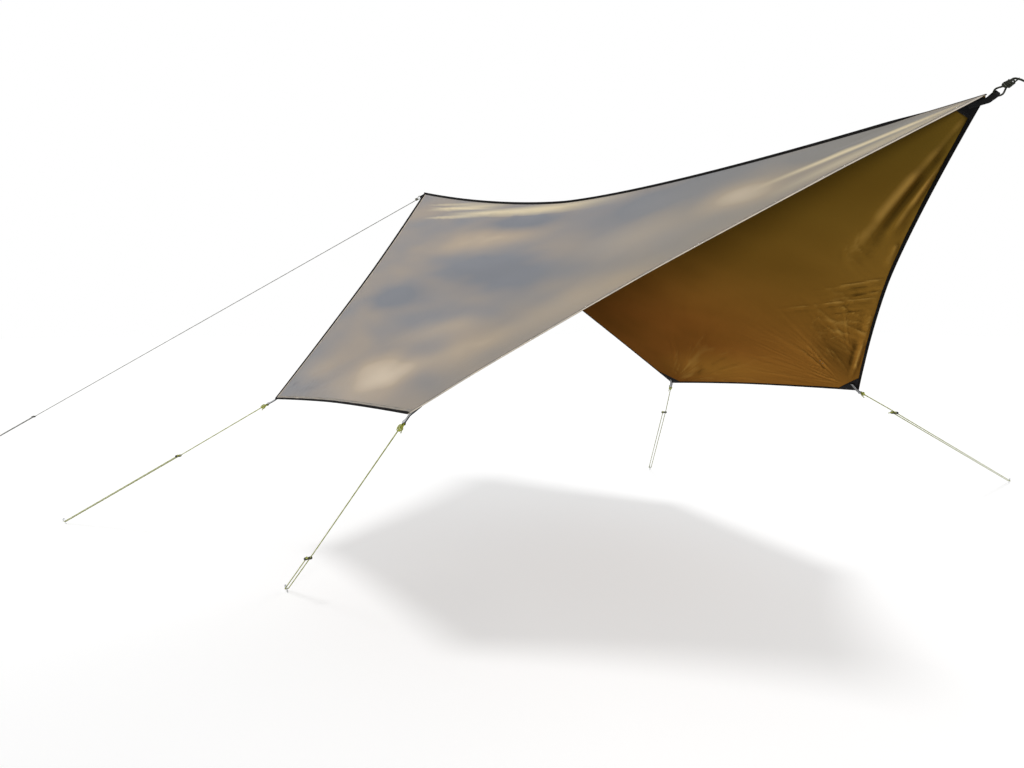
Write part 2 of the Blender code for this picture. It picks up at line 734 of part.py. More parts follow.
def make_canopy(materials, tarp):
    make_ridge_seam(materials["binding"], tarp)
    for side, label in ((NEAR, "near"), (FAR, "far")):
        make_panel(side, label + "_canopy_panel", materials["cloth"], tarp)
        make_bindings(side, label, materials["binding"], tarp)
        make_patches(side, label, materials["patch"], tarp)


def main():
    clear_scene()
    tarp, cutters = make_collections()
    materials = make_materials()
    make_canopy(materials, tarp)
    shapes = make_shapes(materials, tarp, cutters)
    tensioners = {"near_rear": NEAR_REAR_TENSIONER, "near_front": NEAR_FRONT_TENSIONER,
                  "far_front": FAR_FRONT_TENSIONER, "far_rear": FAR_REAR_TENSIONER,
                  "rear_ridge": REAR_RIDGE_TENSIONER}
    for label, (seat, reach) in pulled_points().items():
        add_line_frame(seat, reach)
        make_loop(label + "_loop", seat, reach, materials["webbing"], tarp)
        make_hitch_knot(label, seat, shapes, materials, tarp)
        if label in tensioners:
            make_guyline(label, seat, tensioners[label], shapes, materials, tarp)
        else:
            make_front_line(seat, shapes, materials, tarp)


main()
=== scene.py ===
"""
The finished look of a pitched camping tarp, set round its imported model.

Metres, in the model's frame: the origin is the rear end of the ridge, +X runs along the ridge to
its front end and +Z is up. The wing on the -Y side is near, the one on the +Y side far.
"""

import math
from functools import partial

import bmesh
import bpy
import numpy as np
from mathutils import Matrix, Vector


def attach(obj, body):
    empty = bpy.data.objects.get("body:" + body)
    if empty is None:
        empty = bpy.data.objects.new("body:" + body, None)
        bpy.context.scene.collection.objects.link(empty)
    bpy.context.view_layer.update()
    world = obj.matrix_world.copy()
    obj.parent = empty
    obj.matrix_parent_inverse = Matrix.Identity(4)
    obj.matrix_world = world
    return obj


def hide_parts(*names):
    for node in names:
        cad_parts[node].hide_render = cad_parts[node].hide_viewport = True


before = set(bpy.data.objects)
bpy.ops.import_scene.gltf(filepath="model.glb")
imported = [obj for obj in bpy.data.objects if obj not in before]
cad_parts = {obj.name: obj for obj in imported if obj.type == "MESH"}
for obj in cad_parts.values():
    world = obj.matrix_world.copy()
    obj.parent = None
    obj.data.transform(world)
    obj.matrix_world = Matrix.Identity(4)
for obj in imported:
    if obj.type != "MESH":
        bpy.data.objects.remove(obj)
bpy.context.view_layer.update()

# The canopy, as in the part's source
RIDGE_LENGTH = 3.63
RIDGE_DROP = 0.335
RIDGE_SAG = 0.14
HEM_CORNERS = {"rear": (1.11, 1.11, -1.165), "front": (2.54, 0.94, -1.09)}
REAR_EDGE_BOW = 0.06
HEM_BOW = 0.015
FRONT_EDGE_BOW = 0.045
DIP_POWER = 1.6
GROUND_DROP = 1.95

# The model's layers, loops and lines, as in the part's source
MODEL_CLOTH = 0.002
SEAM_DIAMETER = 0.008
MODEL_TAPE_WALL = 0.001
MODEL_PATCH = 0.001
WEBBING_WIDTH = 0.015
WEBBING_THICKNESS = 0.0015
LOOP_TAIL = 0.045
EYE_RADIUS = 0.0045  # pulled tight round its cord
EYE_FLARE = 0.014
FRONT_LOOP_RISE = math.radians(28)
LINE_DIAMETER = 0.004
STRAND_SPACING = 0.016
FRONT_LINE_FALL = math.radians(38)
FRONT_LINE_RUN = 0.12
KNOT_START = 0.022
KNOT_LENGTH = 0.018
STOPPER_LENGTH = 0.011
TENSIONER_WIDTH = 0.034
TENSIONER_DEPTH = 0.012
TENSIONER_THICKNESS = 0.006
PEG_WIRE = 0.0045
PEG_DEPTH = 0.16
PEG_LINE_HEIGHT = 0.014
PEG_NECK = 0.01
HOOK_RADIUS = 0.009
HOOK_TURN = math.radians(205)
PEG_TIP = 0.02
TOUCH = 0.0003
CLOTH_LIFT = 0.001

# Each pulled point: how far its loop's eye stands out, its peg, and its tensioner's distance up
# the line from the peg
LOOP_REACH = {"near_rear": 0.055, "near_front": 0.045, "far_front": 0.03, "far_rear": 0.045,
              "rear_ridge": 0.042, "front_ridge": 0.018}
PEGS = {"near_rear": (-0.22, -2.07), "near_front": (1.45, -1.13), "far_front": (1.38, 3.86),
        "far_rear": (-0.13, 1.86), "rear_ridge": (-2.38, -3.07)}
TENSIONERS = {"near_rear": 1.07, "near_front": 0.32, "far_front": 2.76, "far_rear": 1.18,
              "rear_ridge": 0.97}

# A guyline's way round its webbing eye: distance down the line and offset to the side
EYE_ROUTE = (
    (0.0350, -0.0032), (0.0270, -0.0032), (0.0205, -0.0034), (0.0140, -0.0072),
    (0.0071, -0.0099), (0.0022, -0.0086), (-0.0015, -0.0050), (-0.0028, 0.0),
    (-0.0015, 0.0050), (0.0022, 0.0086), (0.0071, 0.0099), (0.0140, 0.0072),
    (0.0205, 0.0034), (0.0270, 0.0032), (0.0420, 0.0032),
)
# Its way round the peg's shaft, measured from the shaft
PEG_ROUTE = (
    (-0.0400, 0.0080), (-0.0120, 0.0080), (-0.0034, 0.0080), (0.0006, 0.0069),
    (0.0035, 0.0040), (0.0046, 0.0), (0.0035, -0.0040), (0.0006, -0.0069),
    (-0.0034, -0.0080), (-0.0120, -0.0080), (-0.0400, -0.0080),
)
# The bight tied in the front line's far end, measured from the middle of its second knot
BIGHT_ROUTE = (
    (-0.0300, 0.0032), (-0.0080, 0.0032), (0.0090, 0.0032), (0.0190, 0.0070),
    (0.0300, 0.0115), (0.0400, 0.0100), (0.0460, 0.0050), (0.0475, 0.0),
    (0.0460, -0.0050), (0.0400, -0.0100), (0.0300, -0.0115), (0.0190, -0.0070),
    (0.0090, -0.0032), (-0.0030, -0.0032),
)

# The shown cloth, cord and trim
CLOTH = 0.0012
TAPE_WALL = 0.0007
TAPE_GAP = 0.0002
HEM_FOLD = 0.0004
PATCH_WALL = 0.0008
LINE_SIDES = 14
KNOT_SIDES = 10
COLUMNS = 190
FAR_ROWS = 150
NEAR_ROWS = 90
TRIM_STEPS = 170
RIDGE_STEPS = 240

# Each edge's trim, as seen: the width of the black tape on top, of the cloth's folded hem beside
# it and of the tape underneath, and the gap left at each of its ends
EDGE_TRIM = {"rear": (0.0230, 0.0085, 0.0125), "hem": (0.0080, 0.0100, 0.0110),
             "front": (0.0012, 0.0100, 0.0085)}
TRIM_GAP = {"rear": (0.010, 0.006), "hem": (0.006, 0.006), "front": (0.008, 0.006)}
RIDGE_FLANGE = 0.0130
RIDGE_FLANGE_V = 0.012 / 1.9  # how far down the wing the flange's way is measured

# The corner patches: their corner (u, v) of a wing, their legs and how far in they start
PATCHES = {"rear": (0.0, 1.0, 0.102, 0.0085), "front": (1.0, 1.0, 0.102, 0.0085),
           "ridge_rear": (0.0, 0.0, 0.078, 0.0030), "ridge_front": (1.0, 0.0, 0.078, 0.0030)}
SEAM_INSET = 0.0022  # stitches stand this far in from a tape's edge

# Each wing's single creases: from one place (u, v) to another, with height and half-width
FOLDS = {
    "far": (
        ((0.999, 0.025), (0.925, 0.400), 0.0150, 0.0240),
        ((0.999, 0.050), (0.955, 0.350), -0.0160, 0.0160),
        ((0.999, 0.110), (0.972, 0.340), 0.0150, 0.0150),
        ((0.990, 0.370), (0.990, 0.450), 0.0120, 0.0140),
        ((0.997, 0.496), (0.860, 0.522), 0.0130, 0.0075),
        ((0.997, 0.534), (0.880, 0.556), -0.0110, 0.0065),
        ((0.997, 0.566), (0.790, 0.592), 0.0130, 0.0075),
        ((0.994, 0.605), (0.880, 0.624), -0.0070, 0.0065),
        ((0.930, 0.955), (0.812, 0.690), 0.0060, 0.0060),
        ((0.944, 0.762), (0.865, 0.610), 0.0045, 0.0050),
        ((0.950, 0.770), (0.930, 0.560), 0.0024, 0.0045),
        ((0.952, 0.970), (0.690, 0.835), 0.0065, 0.0065),
        ((0.966, 0.946), (0.992, 0.600), 0.0110, 0.0140),
        ((0.930, 0.950), (0.745, 0.620), -0.0050, 0.0070),
        ((0.924, 0.956), (0.680, 0.750), 0.0045, 0.0065),
        ((0.930, 0.966), (0.580, 0.920), 0.0055, 0.0060),
        ((0.250, 0.974), (0.800, 0.780), 0.0028, 0.0140),
        ((0.196, 0.966), (0.760, 0.690), -0.0026, 0.0140),
        ((0.150, 0.960), (0.650, 0.570), 0.0022, 0.0160),
        ((0.880, 0.700), (0.940, 0.650), 0.0040, 0.0045),
        ((0.890, 0.748), (0.970, 0.692), 0.0045, 0.0050),
        ((0.860, 0.665), (0.910, 0.590), 0.0040, 0.0045),
        ((0.900, 0.850), (0.700, 0.720), 0.0045, 0.0050),
        ((0.905, 0.900), (0.640, 0.800), 0.0045, 0.0050),
    ),
    "near": (
        ((0.085, 0.100), (0.365, 0.004), 0.0070, 0.0110),
        ((0.060, 0.060), (0.250, 0.014), 0.0050, 0.0080),
        ((0.100, 0.150), (0.310, 0.082), 0.0060, 0.0080),
        ((0.270, 0.092), (0.640, 0.028), 0.0110, 0.0230),
        ((0.996, 0.008), (0.925, 0.110), 0.0090, 0.0260),
        ((0.998, 0.030), (0.945, 0.130), 0.0040, 0.0070),
        ((0.998, 0.050), (0.960, 0.170), -0.0040, 0.0070),
        ((0.040, 0.960), (0.300, 0.840), 0.0045, 0.0100),
        ((0.040, 0.970), (0.420, 0.930), 0.0040, 0.0080),
    ),
}
# The crumpled cloth by the far wing's front edge: each family's heading, height and seed
CRUMPLES = ((0.15, 0.0028, 81), (1.25, 0.0026, 82), (2.2, 0.0024, 83), (0.75, 0.0020, 84))
NEAR_SHARE = 0.35  # the near wing's creases are this much of the far wing's
# How strongly each kind of crease shows in the underside's colour, for each metre of its height: a
# painted highlight on its crest and painted shade in its valley
FAN_SHADING, FOLD_SHADING, CRUMPLE_SHADING = 120.0, 90.0, 200.0

# Creases of the near wing with a painted highlight along them: start, end, half width and how much
# shows
LIT_FOLDS = (
    ((0.060, 0.106), (0.372, 0.002), 0.0450, 0.60), ((0.050, 0.075), (0.300, 0.006), 0.0250, 0.40),
    ((0.070, 0.158), (0.320, 0.084), 0.0280, 0.50), ((0.150, 0.112), (0.660, 0.026), 0.0600, 0.75),
    ((0.999, 0.002), (0.960, 0.250), 0.0500, 0.35), ((0.999, 0.004), (0.905, 0.185), 0.0260, 0.80),
    ((0.060, 0.090), (0.340, 0.040), 0.0140, 0.50),
)
# Long patches of painted sunlight (above 0), warmer, and of cooler painted shade over the top:
# start, end, half width and share
SUN_AND_SHADE_DAPPLES = (
    ((0.189, 0.286), (0.561, 0.217), 0.14, 0.50), ((0.730, 0.311), (0.900, 0.300), 0.14, 0.55),
    ((0.871, 0.667), (0.989, 0.506), 0.18, 0.60), ((0.609, 0.867), (0.921, 0.707), 0.16, 0.60),
    ((0.293, 0.941), (0.859, 0.954), 0.18, 0.80), ((0.250, 0.460), (0.850, 0.420), 0.17, -0.50),
    ((0.294, 0.173), (0.601, 0.097), 0.12, -0.50), ((0.600, 0.150), (0.900, 0.030), 0.20, -0.45),
    ((0.100, 0.600), (0.400, 0.560), 0.16, -0.45), ((0.860, 0.180), (0.950, 0.220), 0.12, 0.95),
    ((0.420, 0.860), (0.760, 0.860), 0.14, 0.80), ((0.470, 0.730), (0.760, 0.640), 0.13, 0.60),
    ((0.060, 0.900), (0.300, 0.890), 0.14, 0.40), ((0.870, 0.050), (0.985, 0.030), 0.09, -0.90),
)
# The underside's patches of painted light along the hem (the first) and painted shade (the
# others): start, end, half width, share and colour
UNDER_LIGHT_AND_SHADE = (
    ((0.120, 0.930), (0.760, 0.900), 0.20, 0.50, "#c8923c"),
    ((0.900, 0.720), (0.960, 0.930), 0.15, 0.55, "#4a3613"),
    ((0.700, 0.300), (0.900, 0.500), 0.22, 0.25, "#5a430f"),
)

NEAR = -1
FAR = 1
SIDES = {"near": NEAR, "far": FAR}
UP = np.array((0.0, 0.0, 1.0))
REAR_SEAT = np.array((0.0, 0.0, 0.0))
FRONT_SEAT = np.array((RIDGE_LENGTH, 0.0, -RIDGE_DROP))

CAMERA_PLACE = (4.714, -1.641, -0.822)
CAMERA_YAW = math.radians(64.42)
CAMERA_PITCH = math.radians(4.52)
CAMERA_LENS = 27.07
# Light from all round, then each lamp's name, strength, spread in degrees and way
SKY = 0.30
LAMPS = (("key", 1.1, 14, (-0.25, 0.25, -0.85)), ("low_fill", 3.2, 10, (-0.85, 0.50, -0.05)),
         ("back_fill", 0.9, 20, (0.30, -0.90, -0.35)))
WHITE = (1.0, 1.0, 1.0, 1.0)
FLOOR_HALF = 60.0
# The floor's own grey, then the grey and the added light that the camera sees on it
FLOOR_GREY, SHOWN_GREY, SHOWN_LIGHT = (0.50, 0.50, 0.50, 1.0), (0.76, 0.76, 0.76, 1.0), 0.46


# Vectors and meshes

def unit(vectors):
    return vectors / np.linalg.norm(vectors, axis=-1, keepdims=True)


def column(numbers):
    return np.asarray(numbers, float)[..., None]


def steps(count):
    return np.linspace(0.0, 1.0, count + 1)


def fade(value, start, end):
    """From 0 at start to 1 at end, smoothly."""
    share = np.clip((value - start) / (end - start), 0.0, 1.0)
    return share * share * (3.0 - 2.0 * share)


def along_with(vectors, guide):
    """The vectors, each turned round where it points against the guide."""
    return vectors * np.where(column((vectors * guide).sum(-1)) > 0, 1.0, -1.0)


def square_to(way, vectors):
    """Unit vectors along what each vector keeps once its part along the way is taken out."""
    return unit(vectors - way * column((vectors * way).sum(-1)))


def travelled(path):
    """How far along the path each of its points is."""
    spans = np.linalg.norm(np.diff(path, axis=0), axis=1)
    return np.concatenate(([0.0], np.cumsum(spans)))


def girth(profile):
    """How far round a closed profile each of its points is, and back to the first."""
    return travelled(np.concatenate((profile, profile[:1])))


def headings(path):
    ways = unit(np.diff(path, axis=0))
    return unit(np.concatenate((ways[:1], ways[:-1] + ways[1:], ways[-1:])))


def strip_places(around, along):
    """Each point's place on a long piece: round it, then along it."""
    return np.stack(np.broadcast_arrays(around[None, :], along[:, None]), -1)


def add_piece(name, data):
    piece = bpy.data.objects.new(name, data)
    bpy.context.scene.collection.objects.link(piece)
    return piece


def skin(name, rings, around=True, uv=None, stripes=None):
    """A mesh over rings of points. around joins each ring up, and its ends are then closed.

    uv gives each point its place on the piece in metres, with one more column than the ring has
    points where the ring is joined up. stripes gives the material number of each column.
    """
    rings = np.asarray(rings, float)
    count, size = rings.shape[:2]
    lanes = size if around else size - 1
    i, j = np.meshgrid(np.arange(count - 1), np.arange(lanes), indexing="ij")
    k = (j + 1) % size
    faces = np.stack((i * size + j, i * size + k, (i + 1) * size + k, (i + 1) * size + j), -1)
    polygons = faces.reshape(-1, 4).tolist()
    if around:
        polygons.append(list(range(size))[::-1])
        polygons.append([(count - 1) * size + point for point in range(size)])
    mesh = bpy.data.meshes.new(name)
    mesh.from_pydata(rings.reshape(-1, 3).tolist(), [], polygons)
    if uv is not None:
        corners = np.stack((uv[i, j], uv[i, j + 1], uv[i + 1, j + 1], uv[i + 1, j]), -2)
        ends = np.zeros((2 * size if around else 0, 2))
        flat = np.concatenate((corners.reshape(-1, 2), ends)).astype(np.float32).ravel()
        mesh.uv_layers.new(name="cut").data.foreach_set("uv", flat)
    if stripes is not None:
        numbers = np.tile(np.asarray(stripes), count - 1).tolist()
        numbers += [0] * (len(polygons) - len(numbers))
        mesh.polygons.foreach_set("material_index", numbers)
    mesh.shade_smooth()
    return mesh


def tube_rings(path, radii, sides):
    """Rings round a path, turned along it without twist, and the place of each ring's points."""
    path = np.asarray(path, float)
    angles = column(np.arange(sides) * math.tau / sides)
    ways = headings(path)
    spoke = unit(np.cross(ways[0], UP + np.array((0.31, 0.17, 0.0))))
    rings = []
    for point, way, radius in zip(path, ways, radii):
        spoke = square_to(way, spoke)
        rings.append(point + radius * (np.cos(angles) * spoke
                                       + np.sin(angles) * np.cross(way, spoke)))
    return np.array(rings), strip_places(steps(sides), travelled(path))


def tube(name, path, diameter, sides=LINE_SIDES):
    """A round cord or wire with its ends rounded off."""
    path = np.asarray(path, float)
    radius = diameter / 2
    cap, tip = radius * 0.35, radius * 0.62
    first = path[:1] + unit(path[1] - path[0]) * cap
    last = path[-1:] - unit(path[-1] - path[-2]) * cap
    path = np.concatenate((path[:1], first, path[1:-1], last, path[-1:]))
    radii = np.full(len(path), radius)
    radii[0] = radii[-1] = tip
    rings, uv = tube_rings(path, radii, sides)
    return skin(name, rings, uv=uv)


def joined(name, meshes):
    """Several meshes as one, with each one's materials kept."""
    parts = [add_piece(name + "_part", mesh) for mesh in meshes]
    bpy.ops.object.select_all(action="DESELECT")
    for part in parts:
        part.select_set(True)
    bpy.context.view_layer.objects.active = parts[0]
    bpy.ops.object.join()
    mesh = parts[0].data
    mesh.name = name
    bpy.data.objects.remove(parts[0])
    return mesh


def settled(piece):
    """The piece's mesh with its modifiers done. The piece itself goes."""
    bpy.context.view_layer.update()
    seen = piece.evaluated_get(bpy.context.evaluated_depsgraph_get())
    mesh = bpy.data.meshes.new_from_object(seen)
    bpy.data.objects.remove(piece, do_unlink=True)
    return mesh


def outward(mesh):
    """Turns the faces outwards where a mirrored side has turned them in."""
    work = bmesh.new()
    work.from_mesh(mesh)
    bmesh.ops.recalc_face_normals(work, faces=work.faces)
    work.to_mesh(mesh)
    work.free()
    return mesh


def finish_piece(name, mesh, materials, slot, *nodes, body="tarp"):
    """A finished piece: its materials, what it stands for and the body it rides on. The slot is
    not used.
    """
    numbers = np.zeros(len(mesh.polygons), np.int32)
    mesh.polygons.foreach_get("material_index", numbers)
    mesh.materials.clear()
    for material in materials:
        mesh.materials.append(material)
    mesh.polygons.foreach_set("material_index", numbers)
    piece = add_piece(name, mesh)
    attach(piece, body)
    if nodes:
        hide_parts(*nodes)
    return piece


# The canopy's surface

def dip(share):
    return 1.0 - np.abs(2.0 * np.asarray(share, float) - 1.0) ** DIP_POWER


def hem_corner(side, end):
    x, y, z = HEM_CORNERS[end]
    return np.array((x, side * y, z))


def straight(start, end, share):
    return start + (end - start) * column(share)


def ridge_point(share):
    return straight(REAR_SEAT, FRONT_SEAT, share) - UP * RIDGE_SAG * column(dip(share))


def bowed_edge(side, start, end, bow, share):
    middle = (REAR_SEAT + FRONT_SEAT + hem_corner(side, "rear") + hem_corner(side, "front")) / 4
    inward = square_to(unit(end - start), middle - start)
    return straight(start, end, share) + inward * bow * column(dip(share))


def taut_wing(side, u, v):
    """The wing without its creases: u runs to the front and v down to the hem."""
    rear, front = hem_corner(side, "rear"), hem_corner(side, "front")
    hem = bowed_edge(side, rear, front, HEM_BOW, u)
    rear_edge = bowed_edge(side, REAR_SEAT, rear, REAR_EDGE_BOW, v)
    front_edge = bowed_edge(side, FRONT_SEAT, front, FRONT_EDGE_BOW, v)
    return (straight(ridge_point(u), hem, v) + straight(rear_edge, front_edge, u)
            - straight(straight(REAR_SEAT, FRONT_SEAT, u), straight(rear, front, u), v))


def wing_normal(side, u, v):
    step = 0.01
    u = np.clip(u, step, 1.0 - step)
    v = np.clip(v, step, 1.0 - step)
    forward = taut_wing(side, u + step, v) - taut_wing(side, u - step, v)
    down = taut_wing(side, u, v + step) - taut_wing(side, u, v - step)
    return along_with(unit(np.cross(forward, down)), UP)


def cut_place(side, points):
    """Where points of a wing lie on the flat cloth: along the ridge and out from it."""
    along = unit(FRONT_SEAT - REAR_SEAT)
    down = square_to(along, (hem_corner(side, "rear") + hem_corner(side, "front")) / 2)
    return np.stack((points @ along, side * (points @ down)), -1)


def soft_noise(x, y, seed):
    """Smooth heights from -1 to 1 over a lattice of unit cells."""
    table = np.random.default_rng(seed).uniform(-1.0, 1.0, (64, 64))
    i, j = np.floor(x).astype(int), np.floor(y).astype(int)
    a, b = fade(x - i, 0.0, 1.0), fade(y - j, 0.0, 1.0)

    def row(down):
        return table[i % 64, (j + down) % 64] * (1 - a) + table[(i + 1) % 64, (j + down) % 64] * a

    return row(0) * (1 - b) + row(1) * b


def folded(noise, sharpness):
    """A narrow crest where the noise crosses zero, with a shallower valley beside it."""
    crest = np.clip(1.0 - sharpness * np.abs(noise), 0.0, 1.0) ** 1.5
    valley = np.clip(1.0 - sharpness * np.abs(noise - 0.8 / sharpness), 0.0, 1.0) ** 1.5
    return crest - 0.6 * valley


def fan(points, corner, ahead, aside, lines, reach, angles, seed, sharpness=2.4):
    """Tension creases spreading from a corner, between two angles from the edge named ahead."""
    forward = unit(ahead - corner)
    out = points - corner
    x, y = out @ forward, out @ square_to(forward, aside - corner)
    distance, angle = np.hypot(x, y), np.arctan2(y, x)
    waver = soft_noise(distance * 3.0, angle * 2.0, seed + 1)
    noise = soft_noise(angle * lines + waver, distance * 1.6, seed)
    noise += 0.5 * soft_noise(angle * lines * 2.3, distance * 3.1 + 7.0, seed + 2)
    low, high = angles
    window = fade(angle, low - 0.12, low + 0.05) * (1.0 - fade(angle, high - 0.1, high + 0.2))
    strength = fade(distance, 0.05, 0.24) * np.exp(-(distance / reach) ** 2)
    return folded(noise, sharpness) * window * strength


def fold_share(points, normal, start, end, half_width):
    """A single crease's share of its height at each point: a crest with a shallow valley along
    one side. It starts narrow at the corner that pulls on it, then widens and dies away."""
    way = end - start
    along = np.clip((points - start) @ way / way.dot(way), 0.0, 1.0)
    aside = (points - start) @ np.cross(way, normal)
    away = np.linalg.norm(points - straight(start, end, along), axis=-1)
    away = away * np.sign(aside) / (half_width * (0.5 + 0.5 * along))
    wave = np.exp(-away ** 2) - 0.6 * np.exp(-((away - 1.7) / 1.1) ** 2)
    return wave * fade(along, 0.0, 0.12) * (1.0 - along ** 2)


def edge_freedom(u, v):
    """0 at the taped edges and the ridge, 1 well inside them."""
    width, depth = RIDGE_LENGTH - 2.2 * v, 1.8
    freedom = fade(u * width, 0.008, 0.035) * fade((1.0 - u) * width, 0.006, 0.03)
    return freedom * fade(v * depth, 0.012, 0.05) * fade((1.0 - v) * depth, 0.006, 0.03)


def creased_wing(side, u, v):
    """The wing's points with its creases, and how sharply each point is folded: above 0 on a
    crest and below it in a valley, weighted for the underside's painted crease highlights and
    shade."""
    u, v = np.broadcast_arrays(np.asarray(u, float), np.asarray(v, float))
    points = taut_wing(side, u, v)
    along, down = np.moveaxis(cut_place(side, points), -1, 0)
    rear, front = hem_corner(side, "rear"), hem_corner(side, "front")
    much = 1.0 if side == FAR else NEAR_SHARE
    creases = [(FAN_SHADING, height * fan(points, *shape)) for height, *shape in (
        (0.0024 * much, front, rear, FRONT_SEAT, 15.0, 0.45, (0.05, 1.9), 11),
        (0.0040 * much, rear, front, REAR_SEAT, 17.0, 0.85, (0.02, 0.6), 21),
        (0.0020, rear, front, REAR_SEAT, 12.0, 0.9, (0.02, 0.5), 51),
        (0.0025, REAR_SEAT, ridge_point(0.3), rear, 22.0, 0.95, (0.035, 0.24), 41, 2.0))]

    broken = 0.25 + 0.75 * fade(soft_noise(along * 12.0, down * 12.0, 91), -0.5, 0.3)
    for start, end, height, half_width in FOLDS["far" if side == FAR else "near"]:
        share = fold_share(points, wing_normal(side, *start), taut_wing(side, *start),
                           taut_wing(side, *end), half_width)
        creases.append((FOLD_SHADING, height * broken * share))

    zone = np.exp(-((u - 0.945) / 0.07) ** 2 - ((v - 0.68) / 0.17) ** 2)
    zone = (zone + 0.7 * np.exp(-((u - 0.945) / 0.03) ** 2 - ((v - 0.38) / 0.06) ** 2)) * much
    for turn, height, seed in CRUMPLES:
        bend = 0.5 * soft_noise(along * 11.0, down * 11.0, seed + 10)
        ahead = along * math.cos(turn) + down * math.sin(turn)
        aside = down * math.cos(turn) - along * math.sin(turn)
        share = zone * folded(soft_noise(ahead * 8.0 + 3.0, aside * 34.0 + bend, seed), 3.0)
        share = share * fade(soft_noise(ahead * 6.0, aside * 9.0, seed + 20), -0.3, 0.4)
        creases.append((CRUMPLE_SHADING, height * share))

    swell = soft_noise(u * 4.0, v * 3.0, 71) + 0.5 * soft_noise(u * 9.0, v * 6.0, 72)
    swell = 0.0020 * swell * fade(v, 0.0, 0.2) * (1.0 - fade(v, 0.85, 1.0)) * fade(u, 0.0, 0.1)
    freedom = edge_freedom(u, v)
    lift = sum(crease for crease_shading, crease in creases) * freedom + swell
    # Each crease weighted for the painted highlight on its crest and painted shade in its valley
    shading_and_wear = sum(crease_shading * crease for crease_shading, crease in creases) * freedom
    return points + wing_normal(side, u, v) * column(lift), shading_and_wear


def wing_point(side, u, v):
    return creased_wing(side, u, v)[0]


# The guylines' seats and routes, as in the part's source

def peg_point(label):
    x, y = PEGS[label]
    return np.array((x, y, PEG_LINE_HEIGHT - GROUND_DROP))


def ridge_heading(share):
    """The ridge's way forward at one of its ends."""
    step = 0.01
    start = min(share, 1.0 - step)
    return unit(ridge_point(start + step) - ridge_point(start))


def ridge_seat(at_front, under_patch, over_tape):
    """A ridge loop's base, and the ways in from it and off the cloth."""
    inward = -ridge_heading(1.0) if at_front else ridge_heading(0.0)
    normal = wing_normal(FAR, float(at_front), 0.0)
    across = along_with(unit(np.cross(normal, inward)), (0.0, 1.0, 0.0))
    normal = along_with(unit(np.cross(inward, across)), UP)
    base = FRONT_SEAT - normal * under_patch if at_front else normal * over_tape
    return base + across * (SEAM_DIAMETER / 2 + CLOTH_LIFT + WEBBING_WIDTH / 2), inward, normal


def line_seat(label):
    """A loop's base, ways and eye, and the peg and length of its guyline."""
    layers = WEBBING_THICKNESS + TOUCH / 2
    under_patch = MODEL_CLOTH / 2 + CLOTH_LIFT + MODEL_PATCH + TOUCH + layers
    over_tape = MODEL_CLOTH / 2 + TOUCH + MODEL_TAPE_WALL + CLOTH_LIFT + layers
    peg = peg_point(label) if label in PEGS else None
    if label.endswith("ridge"):
        base, inward, normal = ridge_seat(peg is None, under_patch, over_tape)
        pull = np.array((math.cos(FRONT_LOOP_RISE), 0.0, math.sin(FRONT_LOOP_RISE)))
        pull = pull if peg is None else unit(peg - base)
    else:
        row, end = label.split("_")
        side, at_front = SIDES[row], end == "front"
        corner = hem_corner(side, end)
        normal = wing_normal(side, float(at_front), 1.0)
        base = corner - normal * under_patch
        pull = unit(peg - base)
        middle = unit(hem_corner(side, "rear" if at_front else "front") - corner)
        middle = middle + unit((FRONT_SEAT if at_front else REAR_SEAT) - corner)
        inward = unit(square_to(normal, middle) - square_to(normal, pull))
    side_way = square_to(pull, np.cross(normal, inward))
    eye = base + pull * LOOP_REACH[label]
    return {"base": base, "inward": inward, "normal": normal, "pull": pull, "side": side_way,
            "level": along_with(unit(np.cross(pull, UP)), side_way), "eye": eye, "peg": peg,
            "length": 0.0 if peg is None else float(np.linalg.norm(peg - eye))}


def smooth_route(route, bend_step=math.radians(7)):
    """Points read from a smooth curve through the route. Straight spans keep only their ends."""
    route = np.asarray(route, float)
    spans = np.linalg.norm(np.diff(route, axis=0), axis=1)
    ways = unit(np.diff(route, axis=0))
    slopes = [ways[0]]
    for index in range(1, len(route) - 1):
        before, after = ways[index - 1] * spans[index], ways[index] * spans[index - 1]
        slopes.append((before + after) / (spans[index - 1] + spans[index]))
    slopes.append(ways[-1])
    points = []
    for index, span in enumerate(spans):
        first, second = slopes[index], slopes[index + 1]
        turn = math.acos(min(1.0, max(-1.0, unit(first).dot(unit(second)))))
        count = max(1, round(turn / bend_step))
        for step in range(count):
            t = step / count
            points.append(route[index] * (2 * t ** 3 - 3 * t ** 2 + 1)
                          + first * span * (t ** 3 - 2 * t ** 2 + t)
                          + route[index + 1] * (3 * t ** 2 - 2 * t ** 3)
                          + second * span * (t ** 3 - t ** 2))
    return np.array(points + [route[-1]])


def laid(route, origin, down_way, side_way):
    """A flat route's points, given by how far each lies down one way and along the other."""
    return [origin + down_way * down + side_way * aside for down, aside in route]


def pegged_route(seat, tensioner):
    """From inside the knot, round the eye and the peg, into the stopper knot."""
    pull, half = seat["pull"], STRAND_SPACING / 2
    past = seat["length"] - tensioner
    stopper_end = TENSIONER_THICKNESS / 2 + TOUCH + STOPPER_LENGTH / 2
    route = laid(EYE_ROUTE, seat["eye"], pull, seat["side"])
    route += laid(((past - 0.04, half), (past + 0.04, half)), seat["eye"], pull, seat["level"])
    route += laid(PEG_ROUTE, seat["peg"], pull, seat["level"])
    route += laid(((past + 0.04, -half), (past - stopper_end, -half)), seat["eye"], pull,
                  seat["level"])
    return route


def front_knot_place(seat):
    slope = np.array((math.cos(FRONT_LINE_FALL), 0.0, -math.sin(FRONT_LINE_FALL)))
    bend = seat["eye"] + seat["pull"] * (KNOT_START + KNOT_LENGTH + 0.008)
    return bend + slope * FRONT_LINE_RUN, slope


